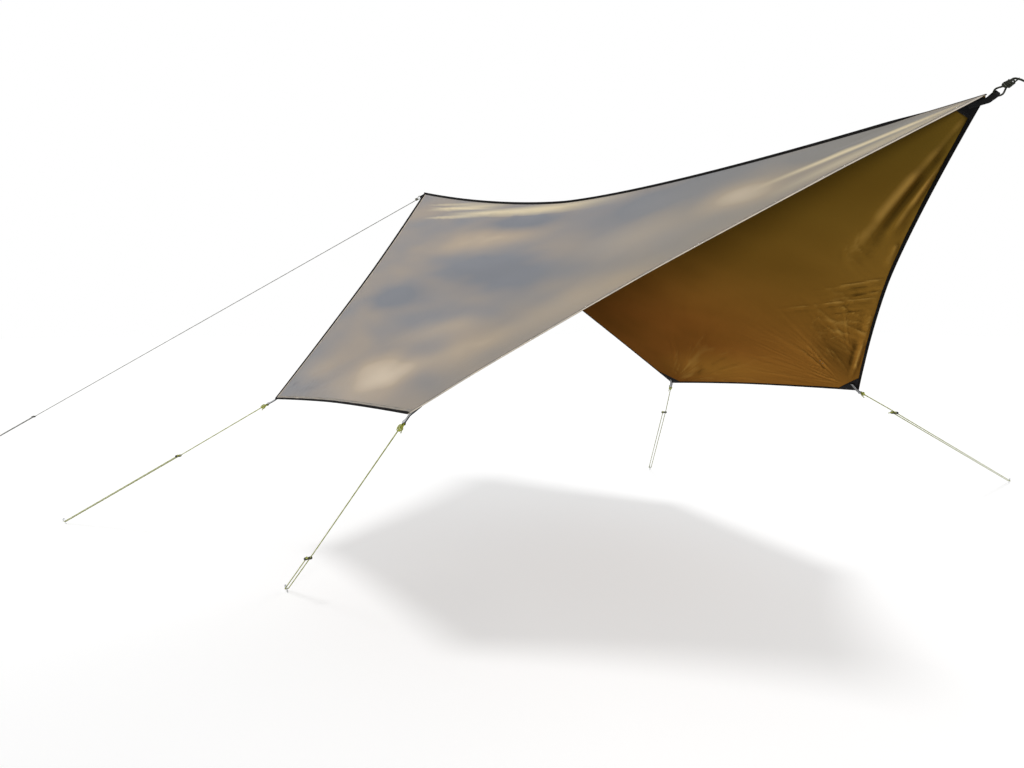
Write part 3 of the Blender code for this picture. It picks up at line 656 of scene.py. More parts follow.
def front_route(seat):
    """Round the eye, down the front line's slope and into the bight tied in its end."""
    knot, slope = front_knot_place(seat)
    start = (0.012 - FRONT_LINE_RUN, BIGHT_ROUTE[0][1])
    return (laid(EYE_ROUTE, seat["eye"], seat["pull"], seat["side"])
            + laid((start,) + BIGHT_ROUTE, knot, slope, seat["level"]))


# Materials

def linear(hex_colour):
    """An sRGB hex colour as the linear colour that a shader takes."""
    parts = [int(hex_colour[start:start + 2], 16) / 255 for start in (1, 3, 5)]
    return (*(part / 12.92 if part <= 0.04045 else ((part + 0.055) / 1.055) ** 2.4
              for part in parts), 1.0)


def fill(tree, socket, value):
    """Gives an input a value or another node's output."""
    if isinstance(value, bpy.types.NodeSocket):
        tree.links.new(value, socket)
    else:
        socket.default_value = value


def add_node(tree, kind, *values, out=0, **settings):
    """Adds a node and gives one of its outputs in use, by number. The values fill its inputs in
    use in order, or a single dict names them."""
    made = tree.nodes.new(kind if "Node" in kind else "ShaderNode" + kind)
    for setting, value in settings.items():
        setattr(made, setting, value)
    if values and isinstance(values[0], dict):
        pairs = [(made.inputs[name], value) for name, value in values[0].items()]
    else:
        pairs = zip([socket for socket in made.inputs if socket.enabled], values)
    for socket, value in pairs:
        fill(tree, socket, value)
    shown = [socket for socket in made.outputs if socket.enabled]
    return shown[out] if shown else None


def start_material(name):
    """A material, and what adds a node to it."""
    material = bpy.data.materials.new(name)
    material.use_nodes = True
    return material, partial(add_node, material.node_tree)


def finish_material(material, colour, roughness, specular, height=None, depth=0.0, strength=0.0,
                    metallic=0.0):
    """Sets the shader. A height gives it bumps so deep and so strong."""
    tree = material.node_tree
    values = {"Base Color": colour, "Roughness": roughness, "Specular IOR Level": specular,
              "Metallic": metallic}
    if height:
        values["Normal"] = add_node(tree, "Bump", {"Height": height, "Distance": depth,
                                                   "Strength": strength})
    for name, value in values.items():
        fill(tree, tree.nodes["Principled BSDF"].inputs[name], value)
    return material


def painted(add, colour, *layers):
    """A colour with others laid over it, each by its share from 0 to 1."""
    for share, over in layers:
        colour = add("Mix", share, colour, linear(over), data_type="RGBA")
    return colour


def threads(add, value, spacing, width):
    """1 on evenly spaced threads and 0 between them."""
    away = add("Math", value, spacing / 2, operation="PINGPONG")
    return add("MapRange", away, 0.0, width, 1.0, 0.0)


def cut_axes(add):
    """The piece's own places over its surface in metres, then its two ways alone."""
    cut = add("UVMap", uv_map="cut")
    return cut, add("SeparateXYZ", cut), add("SeparateXYZ", cut, out=1)


def cloudy(add, place, scale, detail=3.0, turn=0.0, sizes=(1.0, 1.0, 1.0), shift=(0.0, 0.0, 0.0)):
    """Soft noise stretched over the cloth."""
    moved = add("Mapping", place, shift, (0.0, 0.0, turn), sizes)
    return add("TexNoise", moved, scale, detail, 0.45)


def own_axes(add, place, origin, way, reach, half_width):
    """How far places lie along a way from an origin, and beside it, in reaches and half widths."""
    offset = add("VectorMath", place, (*origin.tolist(), 0.0), operation="SUBTRACT")
    return (add("VectorMath", offset, (*scaled.tolist(), 0.0), operation="DOT_PRODUCT")
            for scaled in (way / reach, way[::-1] * (-1.0, 1.0) / half_width))


def soft_drift(add, place, start, end, half_width):
    """1 along the middle of a long soft-edged drift of the cut cloth, 0 outside it."""
    start, end = (np.abs(cut_place(NEAR, taut_wing(NEAR, *share))) for share in (start, end))
    reach = np.linalg.norm(end - start) / 2 + half_width
    axes = own_axes(add, place, (start + end) / 2, unit(end - start), reach, half_width)
    away = add("VectorMath", add("CombineXYZ", *axes), operation="LENGTH")
    return add("MapRange", away, 1.0, 0.0, interpolation_type="SMOOTHSTEP")


def pulled_fold(add, cut, start, end, half_width):
    """1 along a crease of the near wing, narrow where it starts and faint at both ends."""
    start, end = (cut_place(NEAR, taut_wing(NEAR, *share)) for share in (start, end))
    reach = np.linalg.norm(end - start)
    along, across = own_axes(add, cut, start, unit(end - start), reach, half_width)
    away = add("Math", add("Math", across, operation="ABSOLUTE"),
               add("MapRange", along, 0.0, 1.0, 0.4, 1.0), operation="DIVIDE")
    share = add("Math", add("MapRange", away, 1.0, 0.0), add("MapRange", along, 0.0, 0.3),
                operation="MULTIPLY")
    return add("Math", share, add("MapRange", along, 1.0, 0.6), operation="MULTIPLY")


def ripstop(add, cut, along, down):
    """Ripstop's grid of doubled threads, every 5 mm on the real cloth and drawn every 8 mm so
    that it shows, then its height with a fine crinkle over it."""
    grid = add("Math", threads(add, along, 0.008, 0.0007), threads(add, down, 0.008, 0.0007),
               operation="MAXIMUM")
    return grid, add("Math", grid, cloudy(add, cut, 60.0, turn=0.3), operation="ADD")


def cloth_top_material():
    """Ripstop polyester, woven, then silicone coated: satin, its cool grey a painted reflection of
    sky, and the weave's own taupe showing in soft patches of painted sunlight, with painted
    highlights on creases."""
    material, add = start_material("silicone_coated_ripstop")
    cut, along, down = cut_axes(add)
    drift = cloudy(add, cut, 2.2, 2.0, math.radians(12), (0.60, 1.8, 1.0), (0.4, 0.2, 0.0))
    place = add("VectorMath", cut, operation="ABSOLUTE")
    place = add("VectorMath", add("TexNoise", cut, 2.0, out=1), (0.14, 0.14, 0.0), place,
                operation="MULTIPLY_ADD")
    place = add("VectorMath", place, (0.07, 0.07, 0.0), operation="SUBTRACT")
    # Soft patches of painted sunlight (warmer) and painted shade (cooler) over the top
    dapples = 0.0
    for *shape, share in SUN_AND_SHADE_DAPPLES:
        dapples = add("Math", soft_drift(add, place, *shape), share, dapples,
                     operation="MULTIPLY_ADD")
    calmer_far = add("MapRange", down, -0.05, 0.05, 1.0, 0.4)
    sunlit = add("Math", dapples, calmer_far, add("MapRange", drift, 0.3, 0.7, 0.05, 0.60),
               operation="MULTIPLY_ADD")
    # A painted cool reflection of sky, then taupe and cream where painted sunlight falls, then a
    # duller olive tone towards the front end
    colour = painted(add, linear("#696c73"), (sunlit, "#a79681"),
                     (add("MapRange", sunlit, 0.9, 1.7), "#d8c7ae"),
                     (add("MapRange", along, 2.3, 3.5, 0.0, 0.5), "#8a806a"))
    # Painted highlights along the near wing's creases
    for *shape, share in LIT_FOLDS:
        lit = add("MapRange", pulled_fold(add, cut, *shape), 0.0, 0.8, 0.0, share)
        colour = painted(add, colour, (lit, "#ddcca6"))
    grid, height = ripstop(add, cut, along, down)
    colour = painted(add, colour, (add("MapRange", grid, 0.0, 1.0, 0.0, 0.10), "#5f5c58"))
    return finish_material(material, colour, add("MapRange", drift, 0.3, 0.7, 0.44, 0.56), 0.25,
                           height, 0.0004, 0.35)


def cloth_underside_material():
    """The same ripstop's polyurethane-coated inside: dull coyote brown, golden towards the hem
    with painted light through the cloth, darker and greener under the ridge's front end and darker
    to the rear with painted shade, redder to the rear, and with painted highlights on its creases
    and painted shade in the valleys beside them."""
    material, add = start_material("polyurethane_coated_ripstop")
    cut, along, down = cut_axes(add)
    spread = add("Math", down, operation="ABSOLUTE")
    red = add("Math", add("MapRange", along, 3.0, 1.9),
              add("MapRange", spread, 0.2, 0.9, 0.0, 0.8), operation="MULTIPLY")
    drift = cloudy(add, cut, 2.0, 2.0, 0.5, (1.0, 1.6, 1.0), (1.0, 3.0, 0.0))
    # Painted light through the cloth makes it golden towards the hem; painted shade darkens it
    # under the ridge and, in the last layer, towards the rear
    colour = painted(add, linear("#735b20"), (add("MapRange", spread, 0.1, 1.1), "#a87830"),
                     (red, "#9d6028"), (add("MapRange", drift, 0.4, 0.75, 0.0, 0.35), "#664814"),
                     (add("MapRange", along, 2.0, 1.1, 0.0, 0.45), "#4c3012"))
    place = add("VectorMath", cut, operation="ABSOLUTE")
    # Painted light along the hem and patches of painted shade
    for *shape, share, tone in UNDER_LIGHT_AND_SHADE:
        shade = add("MapRange", soft_drift(add, place, *shape), 0.0, 1.0, 0.0, share)
        colour = painted(add, colour, (shade, tone))
    grid, height = ripstop(add, cut, along, down)
    # Painted highlights on the creases' crests and painted shade in their valleys
    fold = add("Attribute", attribute_name="folded", out=2)
    colour = painted(add, colour, (add("MapRange", grid, 0.0, 1.0, 0.0, 0.12), "#3c2c10"),
                     (add("MapRange", fold, 0.12, 0.9, 0.0, 0.55), "#d9ac58"),
                     (add("MapRange", fold, -0.08, -0.6, 0.0, 0.60), "#3c2b0e"))
    return finish_material(material, colour, add("MapRange", drift, 0.3, 0.7, 0.5, 0.6), 0.0,
                           height, 0.0004, 0.4)


def folded_hem_material():
    """The top cloth turned over at the edge and ironed: paler, with the light along its fold."""
    material, add = start_material("folded_hem_cloth")
    shading_and_wear = cloudy(add, cut_axes(add)[0], 18.0)
    colour = painted(add, linear("#9d958a"), (add("MapRange", shading_and_wear, 0.35, 0.7), "#b8ac9b"))
    return finish_material(material, colour, add("MapRange", shading_and_wear, 0.3, 0.7, 0.45, 0.6), 0.45,
                           shading_and_wear, 0.0006, 0.4)


def tape_material():
    """Polyester grosgrain, woven with ribs across it, every 0.8 mm and drawn every 1.6 mm:
    dull black, greyer where it has rubbed."""
    material, add = start_material("black_grosgrain")
    cut, along = cut_axes(add)[::2]
    rubbed = cloudy(add, cut, 30.0, 4.0)
    colour = painted(add, linear("#0b0a0a"), (add("MapRange", rubbed, 0.55, 0.8), "#242220"))
    return finish_material(material, colour, add("MapRange", rubbed, 0.3, 0.8, 0.7, 0.86), 0.04,
                           threads(add, along, 0.0016, 0.0006), 0.0003, 0.5)


def patch_material():
    """Black nylon pack cloth, plain woven from thick yarn, every 0.5 mm and drawn every 2 mm:
    a dull cross-hatched face."""
    material, add = start_material("black_nylon_pack_cloth")
    cut, across, along = cut_axes(add)
    weave = add("Math", threads(add, across, 0.002, 0.0009), threads(add, along, 0.002, 0.0009),
                operation="ADD")
    rubbed = cloudy(add, cut, 22.0)
    colour = painted(add, linear("#0e0d0e"), (add("MapRange", rubbed, 0.5, 0.8), "#1f1e22"))
    return finish_material(material, colour, add("MapRange", rubbed, 0.3, 0.8, 0.62, 0.78), 0.05,
                           weave, 0.0003, 0.45)


def webbing_material(name, has_stripe):
    """Flat polyester webbing, 15 mm wide, twill woven: black, and on some loops a glass-beaded
    silver-grey stripe down its outer face, which shows pale by day."""
    material, add = start_material(name)
    across, along = cut_axes(add)[1:]
    slant = add("Math", across, 0.8, along, operation="MULTIPLY_ADD")
    twill = add("Math", threads(add, slant, 0.0018, 0.0007), threads(add, across, 0.0015, 0.0006),
                operation="MULTIPLY")
    colour = painted(add, linear("#0c0c0d"), (twill, "#222123"))
    if has_stripe:
        edge = add("Math", across, WEBBING_WIDTH / 2, operation="SUBTRACT")
        stripe = add("MapRange", add("Math", edge, operation="ABSOLUTE"), WEBBING_WIDTH * 0.44,
                     WEBBING_WIDTH * 0.40)
        pale = painted(add, linear("#b4b6b8"), (twill, "#8e9092"))
        colour = add("Mix", stripe, colour, pale, data_type="RGBA")
    return finish_material(material, colour, 0.65, 0.08, twill, 0.0003, 0.5)


def braid_material(name, light, dark, fleck):
    """Braided polyester cord, 4 mm, sixteen strands: a diamond lattice on a yellow-green sheath
    with one reflective strand that winds round it."""
    material, add = start_material(name)
    around, along = cut_axes(add)[1:]
    strands = add("Math", around, 4.0, operation="MULTIPLY")
    climb = add("Math", along, 55.0, operation="MULTIPLY")
    right, left = (threads(add, add("Math", strands, climb, operation=way), 1.0, 0.42)
                   for way in ("ADD", "SUBTRACT"))
    lattice = add("Math", right, left, operation="MAXIMUM")
    winding = add("Math", along, -13.75, around, operation="MULTIPLY_ADD")
    tracer = add("MapRange", threads(add, winding, 1.0, 0.1), 0.0, 1.0, 0.0, 0.8)
    colour = painted(add, linear(dark), (lattice, light), (tracer, fleck))
    return finish_material(material, colour, add("MapRange", lattice, 0.0, 1.0, 0.75, 0.55), 0.15,
                           lattice, 0.0004, 0.6)


def thread_material():
    """Bonded polyester sewing thread, two-ply twisted: dark and slightly glossy."""
    material, add = start_material("bonded_thread")
    ply = add("TexNoise", add("TexCoord", out=3), 1500.0)
    return finish_material(material, painted(add, linear("#101010"), (ply, "#1d1d1e")), 0.6, 0.15)


def nylon_material():
    """Glass-filled nylon, injection moulded: near black, with a fine sparked texture and
    greyer rubbed patches."""
    material, add = start_material("moulded_nylon")
    place = add("TexCoord", out=3)
    rubbed = add("TexNoise", place, 160.0, 4.0)
    colour = painted(add, linear("#1c1c1c"), (add("MapRange", rubbed, 0.5, 0.75), "#363534"))
    return finish_material(material, colour, add("MapRange", rubbed, 0.3, 0.7, 0.4, 0.56), 0.5,
                           add("TexNoise", place, 1400.0, 3.0), 0.0001, 0.3)


def steel_material():
    """Galvanised steel wire, drawn and hot dipped: grey metal with zinc's dull mottling."""
    material, add = start_material("galvanised_wire")
    mottle = add("TexNoise", add("TexCoord", out=3), 260.0, 4.0)
    colour = painted(add, linear("#8f9194"), (add("MapRange", mottle, 0.35, 0.7), "#bdbfc0"))
    return finish_material(material, colour, add("MapRange", mottle, 0.3, 0.7, 0.3, 0.48), 0.5,
                           metallic=1.0)


# Camera, light and ground

def make_camera():
    data = bpy.data.cameras.new("camera")
    data.sensor_width = 36.0
    data.lens = CAMERA_LENS
    data.clip_start = 0.02
    camera = add_piece("camera", data)
    camera.location = CAMERA_PLACE
    camera.rotation_euler = (math.pi / 2 - CAMERA_PITCH, 0.0, CAMERA_YAW)
    bpy.context.scene.camera = camera
    bpy.context.scene.view_settings.view_transform = "Standard"


def shown_apart(add, plain, shown):
    """The plain shader, with the shown one for what the camera, a reflection or a see-through
    piece sees of the backdrop."""
    path = add("LightPath").node.outputs
    seen = add("Math", path["Is Camera Ray"], path["Is Glossy Ray"], operation="MAXIMUM")
    seen = add("Math", seen, path["Is Transmission Ray"], operation="MAXIMUM")
    return add("MixShader", seen, plain, shown)


def make_light():
    world = bpy.data.worlds.new("soft_studio")
    world.use_nodes = True
    world.node_tree.nodes.clear()
    add = partial(add_node, world.node_tree)
    add("OutputWorld", shown_apart(add, add("Background", WHITE, SKY), add("Background", WHITE)))
    bpy.context.scene.world = world
    for name, energy, angle, way in LAMPS:
        lamp = bpy.data.lights.new(name, "SUN")
        lamp.energy = energy
        lamp.angle = math.radians(angle)
        light = add_piece(name, lamp)
        light.rotation_euler = Vector(way).to_track_quat("-Z", "Y").to_euler()


def make_ground():
    material, add = start_material("pale_floor")
    material.node_tree.nodes.clear()
    shown = add("AddShader", add("BsdfDiffuse", SHOWN_GREY), add("Emission", WHITE, SHOWN_LIGHT))
    add("OutputMaterial", shown_apart(add, add("BsdfDiffuse", FLOOR_GREY), shown))
    mesh = bpy.data.meshes.new("floor")
    corners = [(x * FLOOR_HALF, y * FLOOR_HALF, -GROUND_DROP)
               for x, y in ((-1, -1), (1, -1), (1, 1), (-1, 1))]
    mesh.from_pydata(corners, [], [(0, 1, 2, 3)])
    mesh.materials.append(material)
    add_piece("floor", mesh)


# Guylines, knots, tensioners and pegs

def placed(mesh, origin, x_axis, z_axis):
    """A copy of the mesh with its place applied."""
    turn = Matrix(np.stack((x_axis, np.cross(z_axis, x_axis), z_axis), 1).tolist())
    moved = mesh.copy()
    moved.transform(Matrix.Translation(origin.tolist()) @ turn.to_4x4())
    return moved


def hitch_shape():
    """A double overhand: the cord wound four times round two strands, crossing back over its
    turns, with a short cut tail."""
    wide, deep, turns, diameter = 0.0070, 0.0039, 3.6, 0.0034
    path = [(0.0, 0.0, -0.0085), (0.004, 0.001, -0.008)]
    path += [(wide * math.cos(angle), deep * math.sin(angle), height) for angle, height in
             zip(np.linspace(0.0, turns * math.tau, 110), np.linspace(-0.0068, 0.0062, 110))]
    path += [(-0.0045, -0.0072, 0.0066), (-0.0015, -0.0078, 0.0036), (0.0016, -0.0078, -0.0006),
             (0.0045, -0.0070, -0.0052), (0.0068, -0.0044, -0.0086), (0.0072, -0.0004, -0.0102),
             (0.0050, 0.0034, -0.0098), (0.0012, 0.0048, -0.0080), (-0.0010, 0.0074, -0.0040),
             (-0.0012, 0.0080, 0.0020), (-0.0010, 0.0078, 0.0085), (-0.0004, 0.0092, 0.0160),
             (0.0006, 0.0112, 0.0230)]
    return tube("hitch_knot", smooth_route(path, math.radians(14)), diameter, KNOT_SIDES)


def stopper_shape():
    """An overhand knot pulled tight in the line's end, with a short cut tail above it."""
    size, rise, diameter = 0.00135, 0.0024, 0.0036
    turn = np.linspace(0.0, math.tau, 73)[:-1] + 0.4
    loop = np.stack((size * (np.sin(turn) + 2 * np.sin(2 * turn)),
                     size * (np.cos(turn) - 2 * np.cos(2 * turn)), -rise * np.sin(3 * turn)), 1)
    tail = smooth_route([(0.0, 0.0, -0.002), (0.0, 0.0006, -0.007), (-0.0010, 0.0030, -0.0140),
                         (-0.0032, 0.0066, -0.0210), (-0.0070, 0.0088, -0.0270)])
    return joined("stopper_knot", [tube("stopper_part", path, diameter, KNOT_SIDES)
                                   for path in (np.concatenate((loop, loop[:2])), tail)])


def tensioner_shape(material):
    """A flat waisted bar with rounded edges, two cord holes and three low grip ribs."""
    edge = 0.0008
    curve = bpy.data.curves.new("tensioner", "CURVE")
    curve.dimensions = "2D"
    curve.fill_mode = "BOTH"
    curve.extrude = TENSIONER_THICKNESS / 2 - edge
    curve.bevel_depth = edge
    curve.bevel_resolution = 2
    curve.offset = -edge
    turn = steps(64)[:-1] * math.tau
    x, y = np.cos(turn), np.sin(turn)
    reach = (np.abs(x) ** 4 + np.abs(y) ** 4) ** -0.25
    place = TENSIONER_WIDTH / 2 * x * reach
    waist = 1.0 - 0.2 * np.exp(-(place / 0.0055) ** 2)
    outlines = [(place, TENSIONER_DEPTH / 2 * y * reach * waist)]
    turn, radius = steps(20)[:-1] * math.tau, LINE_DIAMETER / 2 + 0.0004
    outlines += [(way * STRAND_SPACING / 2 + radius * np.cos(turn), radius * np.sin(turn))
                 for way in (1, -1)]
    for x, y in outlines:
        spline = curve.splines.new("POLY")
        spline.points.add(len(x) - 1)
        spline.points.foreach_set("co", np.stack((x, y, x * 0.0, x * 0.0 + 1.0), 1).ravel())
        spline.use_cyclic_u = True
    meshes = [settled(add_piece("tensioner", curve))]
    for offset in (-0.0026, 0.0, 0.0026):
        for height in (TENSIONER_THICKNESS / 2, -TENSIONER_THICKNESS / 2):
            path = [(offset, end, height) for end in (-0.0040, 0.0, 0.0040)]
            meshes.append(tube("tensioner_rib", path, 0.0011, 8))
    for mesh in meshes:
        mesh.materials.clear()
        mesh.materials.append(material)
    return joined("tensioner", meshes)


def peg_shape():
    """A wire peg: ground point, straight shaft and the hook over the line."""
    path = [(0.0, 0.0, -PEG_DEPTH), (0.0, 0.0, PEG_TIP - PEG_DEPTH), (0.0, 0.0, -0.002),
            (0.0, 0.0, PEG_NECK)]
    path += [(HOOK_RADIUS * (1.0 + math.cos(angle)), 0.0, PEG_NECK + HOOK_RADIUS * math.sin(angle))
             for angle in math.pi - HOOK_TURN * steps(30)[1:]]
    radii = np.full(len(path), PEG_WIRE / 2)
    radii[0], radii[-1] = PEG_WIRE * 0.1, PEG_WIRE * 0.42
    rings, uv = tube_rings(path, radii, 16)
    return skin("peg", rings, uv=uv)


def make_guyline(label, seat, shapes, materials):
    """One guyline and its hardware: the cord, the knots tied in it, and its tensioner and peg
    where it is pegged.
    """
    eye, pull, level = seat["eye"], seat["pull"], seat["level"]
    pegged = seat["peg"] is not None
    route = pegged_route(seat, TENSIONERS[label]) if pegged else front_route(seat)
    path = smooth_route(route)
    braid = [materials[{"rear_ridge": "grey_cord", "front_ridge": "dark_cord"}.get(label, "cord")]]
    cord = finish_piece(label + "_cord", tube(label + "_cord", path, LINE_DIAMETER), braid,
                        "cord", label + "_guyline")
    hitch = placed(shapes["hitch"], eye + pull * (KNOT_START + KNOT_LENGTH / 2), seat["side"],
                   pull)
    tied = [finish_piece(label + "_hitch", hitch, braid, "cord", label + "_knot")]
    if pegged:
        place = eye + pull * (seat["length"] - TENSIONERS[label])
        finish_piece(label + "_line_runner", placed(shapes["tensioner"], place, level, pull),
                     [materials["nylon"]], "tensioner", label + "_tensioner",
                     body=label + "_tensioner")
        back = TENSIONER_THICKNESS / 2 + TOUCH + STOPPER_LENGTH / 2
        place = place - pull * back - level * STRAND_SPACING / 2
        tied.append(finish_piece(label + "_stopper", placed(shapes["stopper"], place, level, pull),
                                 braid, "cord", label + "_stopper_knot"))
        upright = along_with(unit(np.cross(level, pull)), UP)
        finish_piece(label + "_hooked_peg", placed(shapes["peg"], seat["peg"], pull, upright),
                     [materials["steel"]], "peg", label + "_peg", body=label + "_peg")
    else:
        knot, slope = front_knot_place(seat)
        tied.append(finish_piece("front_line_bight_hitch",
                                 placed(shapes["hitch"], knot, level, slope), braid, "cord",
                                 "front_line_bight_knot"))


# Canopy, trim and loops

def make_canopy(materials):
    """Both wings as one cloth over the ridge, finer towards the far wing's front corner."""
    t, far_v, near_v = steps(COLUMNS), steps(FAR_ROWS), steps(NEAR_ROWS)
    u = column(t + 0.6 * t * (1.0 - t))
    far_v = far_v + 0.5 * far_v * (1.0 - far_v)
    near_v = near_v - 0.35 * np.sin(math.tau * near_v) / math.tau
    far, far_shading = creased_wing(FAR, u, far_v[::-1])
    near, near_shading = creased_wing(NEAR, u, near_v[1:])
    uv = np.concatenate((cut_place(FAR, far), cut_place(NEAR, near)), 1)
    mesh = skin("canopy", np.concatenate((far, near), 1), around=False, uv=uv)
    # The creases' painted highlight and shade, kept on the mesh for the underside's colour
    shading_and_wear = np.concatenate((far_shading, near_shading), 1).astype(np.float32).ravel()
    mesh.attributes.new("folded", "FLOAT", "POINT").data.foreach_set("value", shading_and_wear)
    faces = [materials["top"], materials["underside"]]
    for material in faces:
        mesh.materials.append(material)
    sheet = add_piece("canopy_grid", mesh)
    solid = sheet.modifiers.new("Cloth", "SOLIDIFY")
    solid.thickness = CLOTH
    solid.offset = 0.0
    solid.use_even_offset = True
    solid.material_offset = 1
    area = 0.0
    for rows in (far, near):
        across = np.cross(rows[1:, 1:] - rows[:-1, :-1], rows[1:, :-1] - rows[:-1, 1:])
        area += float(np.linalg.norm(across, axis=-1).sum() / 2)
    return finish_piece("canopy", settled(sheet), faces, "cloth", "near_canopy_panel",
                        "far_canopy_panel"), area


def edge_strip(side, edge, shares, insets):
    """Rows across an edge, one for each share along it, at the insets from it on the creased
    cloth. Gives the points, the cloth's normals and the ways inward."""
    u, v, u_way, v_way = {"rear": (0.0, shares, 1.0, 0.0), "hem": (shares, 1.0, 0.0, -1.0),
                          "front": (1.0, shares, -1.0, 0.0)}[edge]
    step = 0.01
    on_edge = taut_wing(side, u, v)
    reach = taut_wing(side, u + u_way * step, v + v_way * step) - on_edge
    inward = square_to(headings(on_edge), reach)
    offset = np.maximum(insets, 0.0) * step / column((reach * inward).sum(-1))
    u, v = column(u) + u_way * offset, column(v) + v_way * offset
    points = wing_point(side, u, v) + inward[:, None, :] * column(np.minimum(insets, 0.0))
    return points, wing_normal(side, u, v), inward


def edge_shares(side, edge, past, count):
    """Shares along an edge between its two ends' gaps."""
    start, end = TRIM_GAP[edge]
    rear, front = hem_corner(side, "rear"), hem_corner(side, "front")
    length = np.linalg.norm({"rear": rear - REAR_SEAT, "hem": front - rear,
                             "front": front - FRONT_SEAT}[edge])
    return (start + past) / length + steps(count) * (1.0 - (start + end + 2 * past) / length)


def edge_tape(side, edge):
    """Grosgrain folded over an edge, and the pale hem of the cloth that shows beside it."""
    black, pale, under = EDGE_TRIM[edge]
    inner = CLOTH / 2 + TAPE_GAP
    outer = inner + TAPE_WALL
    swell = 0.00015
    profile = [(black + pale, inner), (black + pale, inner + HEM_FOLD), (black, inner + HEM_FOLD),
               (black, outer), (black * 0.5, outer + swell)]
    profile += [(-outer * math.sin(angle), outer * math.cos(angle))
                for angle in np.linspace(0.0, math.pi, 7)]
    profile += [(under * 0.5, -outer - swell), (under, -outer), (under, -inner), (0.0, -inner),
                (-inner * 0.6, 0.0), (0.0, inner)]
    stripes = [1, 1, 1] + [0] * (len(profile) - 4) + [1]
    if edge == "front":
        stripes[3:9] = [1] * 6
    profile = np.array(profile)
    inset, height = profile.T
    points, normals, inward = edge_strip(side, edge, edge_shares(side, edge, 0.0, TRIM_STEPS),
                                         inset)
    along = travelled(points[:, -1])
    pucker = column(0.00012 * np.sin(along * math.tau / 0.009) + 0.00010 * np.sin(along * 211.0))
    ripple = pucker * np.where(np.abs(inset) > 0.001, np.sign(height), 0)
    rings = points + normals * column(height + ripple)
    rings = rings + inward[:, None, :] * column(2.0 * pucker * (inset > 0.003))
    return rings, strip_places(girth(profile), along), stripes


def make_tapes(materials):
    made = []
    for label, side in SIDES.items():
        for edge in EDGE_TRIM:
            name = f"{label}_{edge}_tape"
            rings, uv, stripes = edge_tape(side, edge)
            made.append(finish_piece(name, outward(skin(name, rings, uv=uv, stripes=stripes)),
                                     [materials["tape"], materials["hem"]], "binding",
                                     f"{label}_{edge}_binding"))
    return made


def ridge_flange(shares, along):
    """How much of the ridge's tape shows, which runs in under the cloth at the front, and its
    width on each wing."""
    shown = fade(along[-1] - along, 0.10, 0.26)
    width = RIDGE_FLANGE * (1.0 - 0.22 * shares) * shown * np.clip(along / 0.022, 0.0, 1.0)
    return shown, np.maximum(width, 0.0015)


def beside_ridge(side, shares, top):
    """From points on top of the ridge, the ways out over a wing and up off its cloth."""
    ways = headings(top)
    over = square_to(ways, wing_point(side, shares, RIDGE_FLANGE_V) - top)
    return over, along_with(unit(np.cross(ways, over)), UP)


def make_ridge_tape(materials):
    """The rolled seam along the ridge under its black tape, with a flange on each wing."""
    ends = steps(16) * 0.008
    shares = np.unique(np.concatenate((steps(RIDGE_STEPS), ends, 1.0 - ends)))
    top = ridge_point(shares)
    along = travelled(top)
    shown, width = ridge_flange(shares, along)
    width, roll = column(width), column(0.15 + 0.85 * shown)
    face, low = CLOTH / 2 + TAPE_WALL, CLOTH / 2 + 0.0006

    def flange(over, up):
        return [top + over * width - up * low, top + over * width + up * face,
                top + over * width * 0.62 + up * (face + 0.0003)]

    near, near_up = beside_ridge(NEAR, shares, top)
    far, far_up = beside_ridge(FAR, shares, top)
    up, across = along_with(unit(-(near + far)), UP), unit(near - far)
    bulge = [top + (up * 0.0046 * math.cos(angle) + across * 0.0042 * math.sin(angle)) * roll
             for angle in np.radians((62.0, 38.0, 14.0, -14.0, -38.0, -62.0))]
    rings = np.stack(flange(near, near_up) + bulge + flange(far, far_up)[::-1]
                     + [top - up * 0.0036 * roll], 1)
    uv = strip_places(np.linspace(0.0, 0.04, rings.shape[1] + 1), along)
    return finish_piece("ridge_seam_tape", outward(skin("ridge_seam_tape", rings, uv=uv)),
                        [materials["tape"]], "binding", "ridge_seam")


def patch_place(side, corner, a, b):
    """Shares of the wing at a place on a corner's three-cornered patch."""
    u_corner, v_corner, leg, inset = PATCHES[corner]
    ridge, hem = (end - start for start, end in (
        (REAR_SEAT, FRONT_SEAT), (hem_corner(side, "rear"), hem_corner(side, "front"))))
    u_length = np.linalg.norm(hem if v_corner else ridge)
    v_length = np.linalg.norm(taut_wing(side, u_corner, 1.0) - taut_wing(side, u_corner, 0.0))
    return (u_corner + (1.0 - 2.0 * u_corner) * (inset + leg * a * (1.0 - b)) / u_length,
            v_corner + (1.0 - 2.0 * v_corner) * (inset + leg * a * b) / v_length)


def patch_depth(a, b):
    """How deep under the cloth a patch's middle lies: less along its long side."""
    return 0.0026 - 0.0013 * fade(a, 0.86, 1.0) * np.sqrt(np.clip(4.0 * b * (1.0 - b), 0.0, 1.0))


def make_patches(materials):
    """Pack cloth sewn under each corner, pressed to the wing along its long side."""
    made = []
    a, b = np.meshgrid(steps(18), steps(18), indexing="ij")
    for label, side in SIDES.items():
        for corner in PATCHES:
            u, v = patch_place(side, corner, a, b)
            points = wing_point(side, u, v)
            points = points - wing_normal(side, u, v) * column(patch_depth(a, b))
            name = f"{label}_{corner}"
            piece = add_piece(name + "_grid", skin(name, points, around=False,
                                                   uv=cut_place(side, points)))
            piece.modifiers.new("Weld", "WELD").merge_threshold = 0.00001
            solid = piece.modifiers.new("Thickness", "SOLIDIFY")
            solid.thickness = PATCH_WALL
            solid.offset = 0.0
            made.append(finish_piece(name + "_corner_patch", outward(settled(piece)),
                                     [materials["patch"]], "patch", name + "_patch"))
    return made


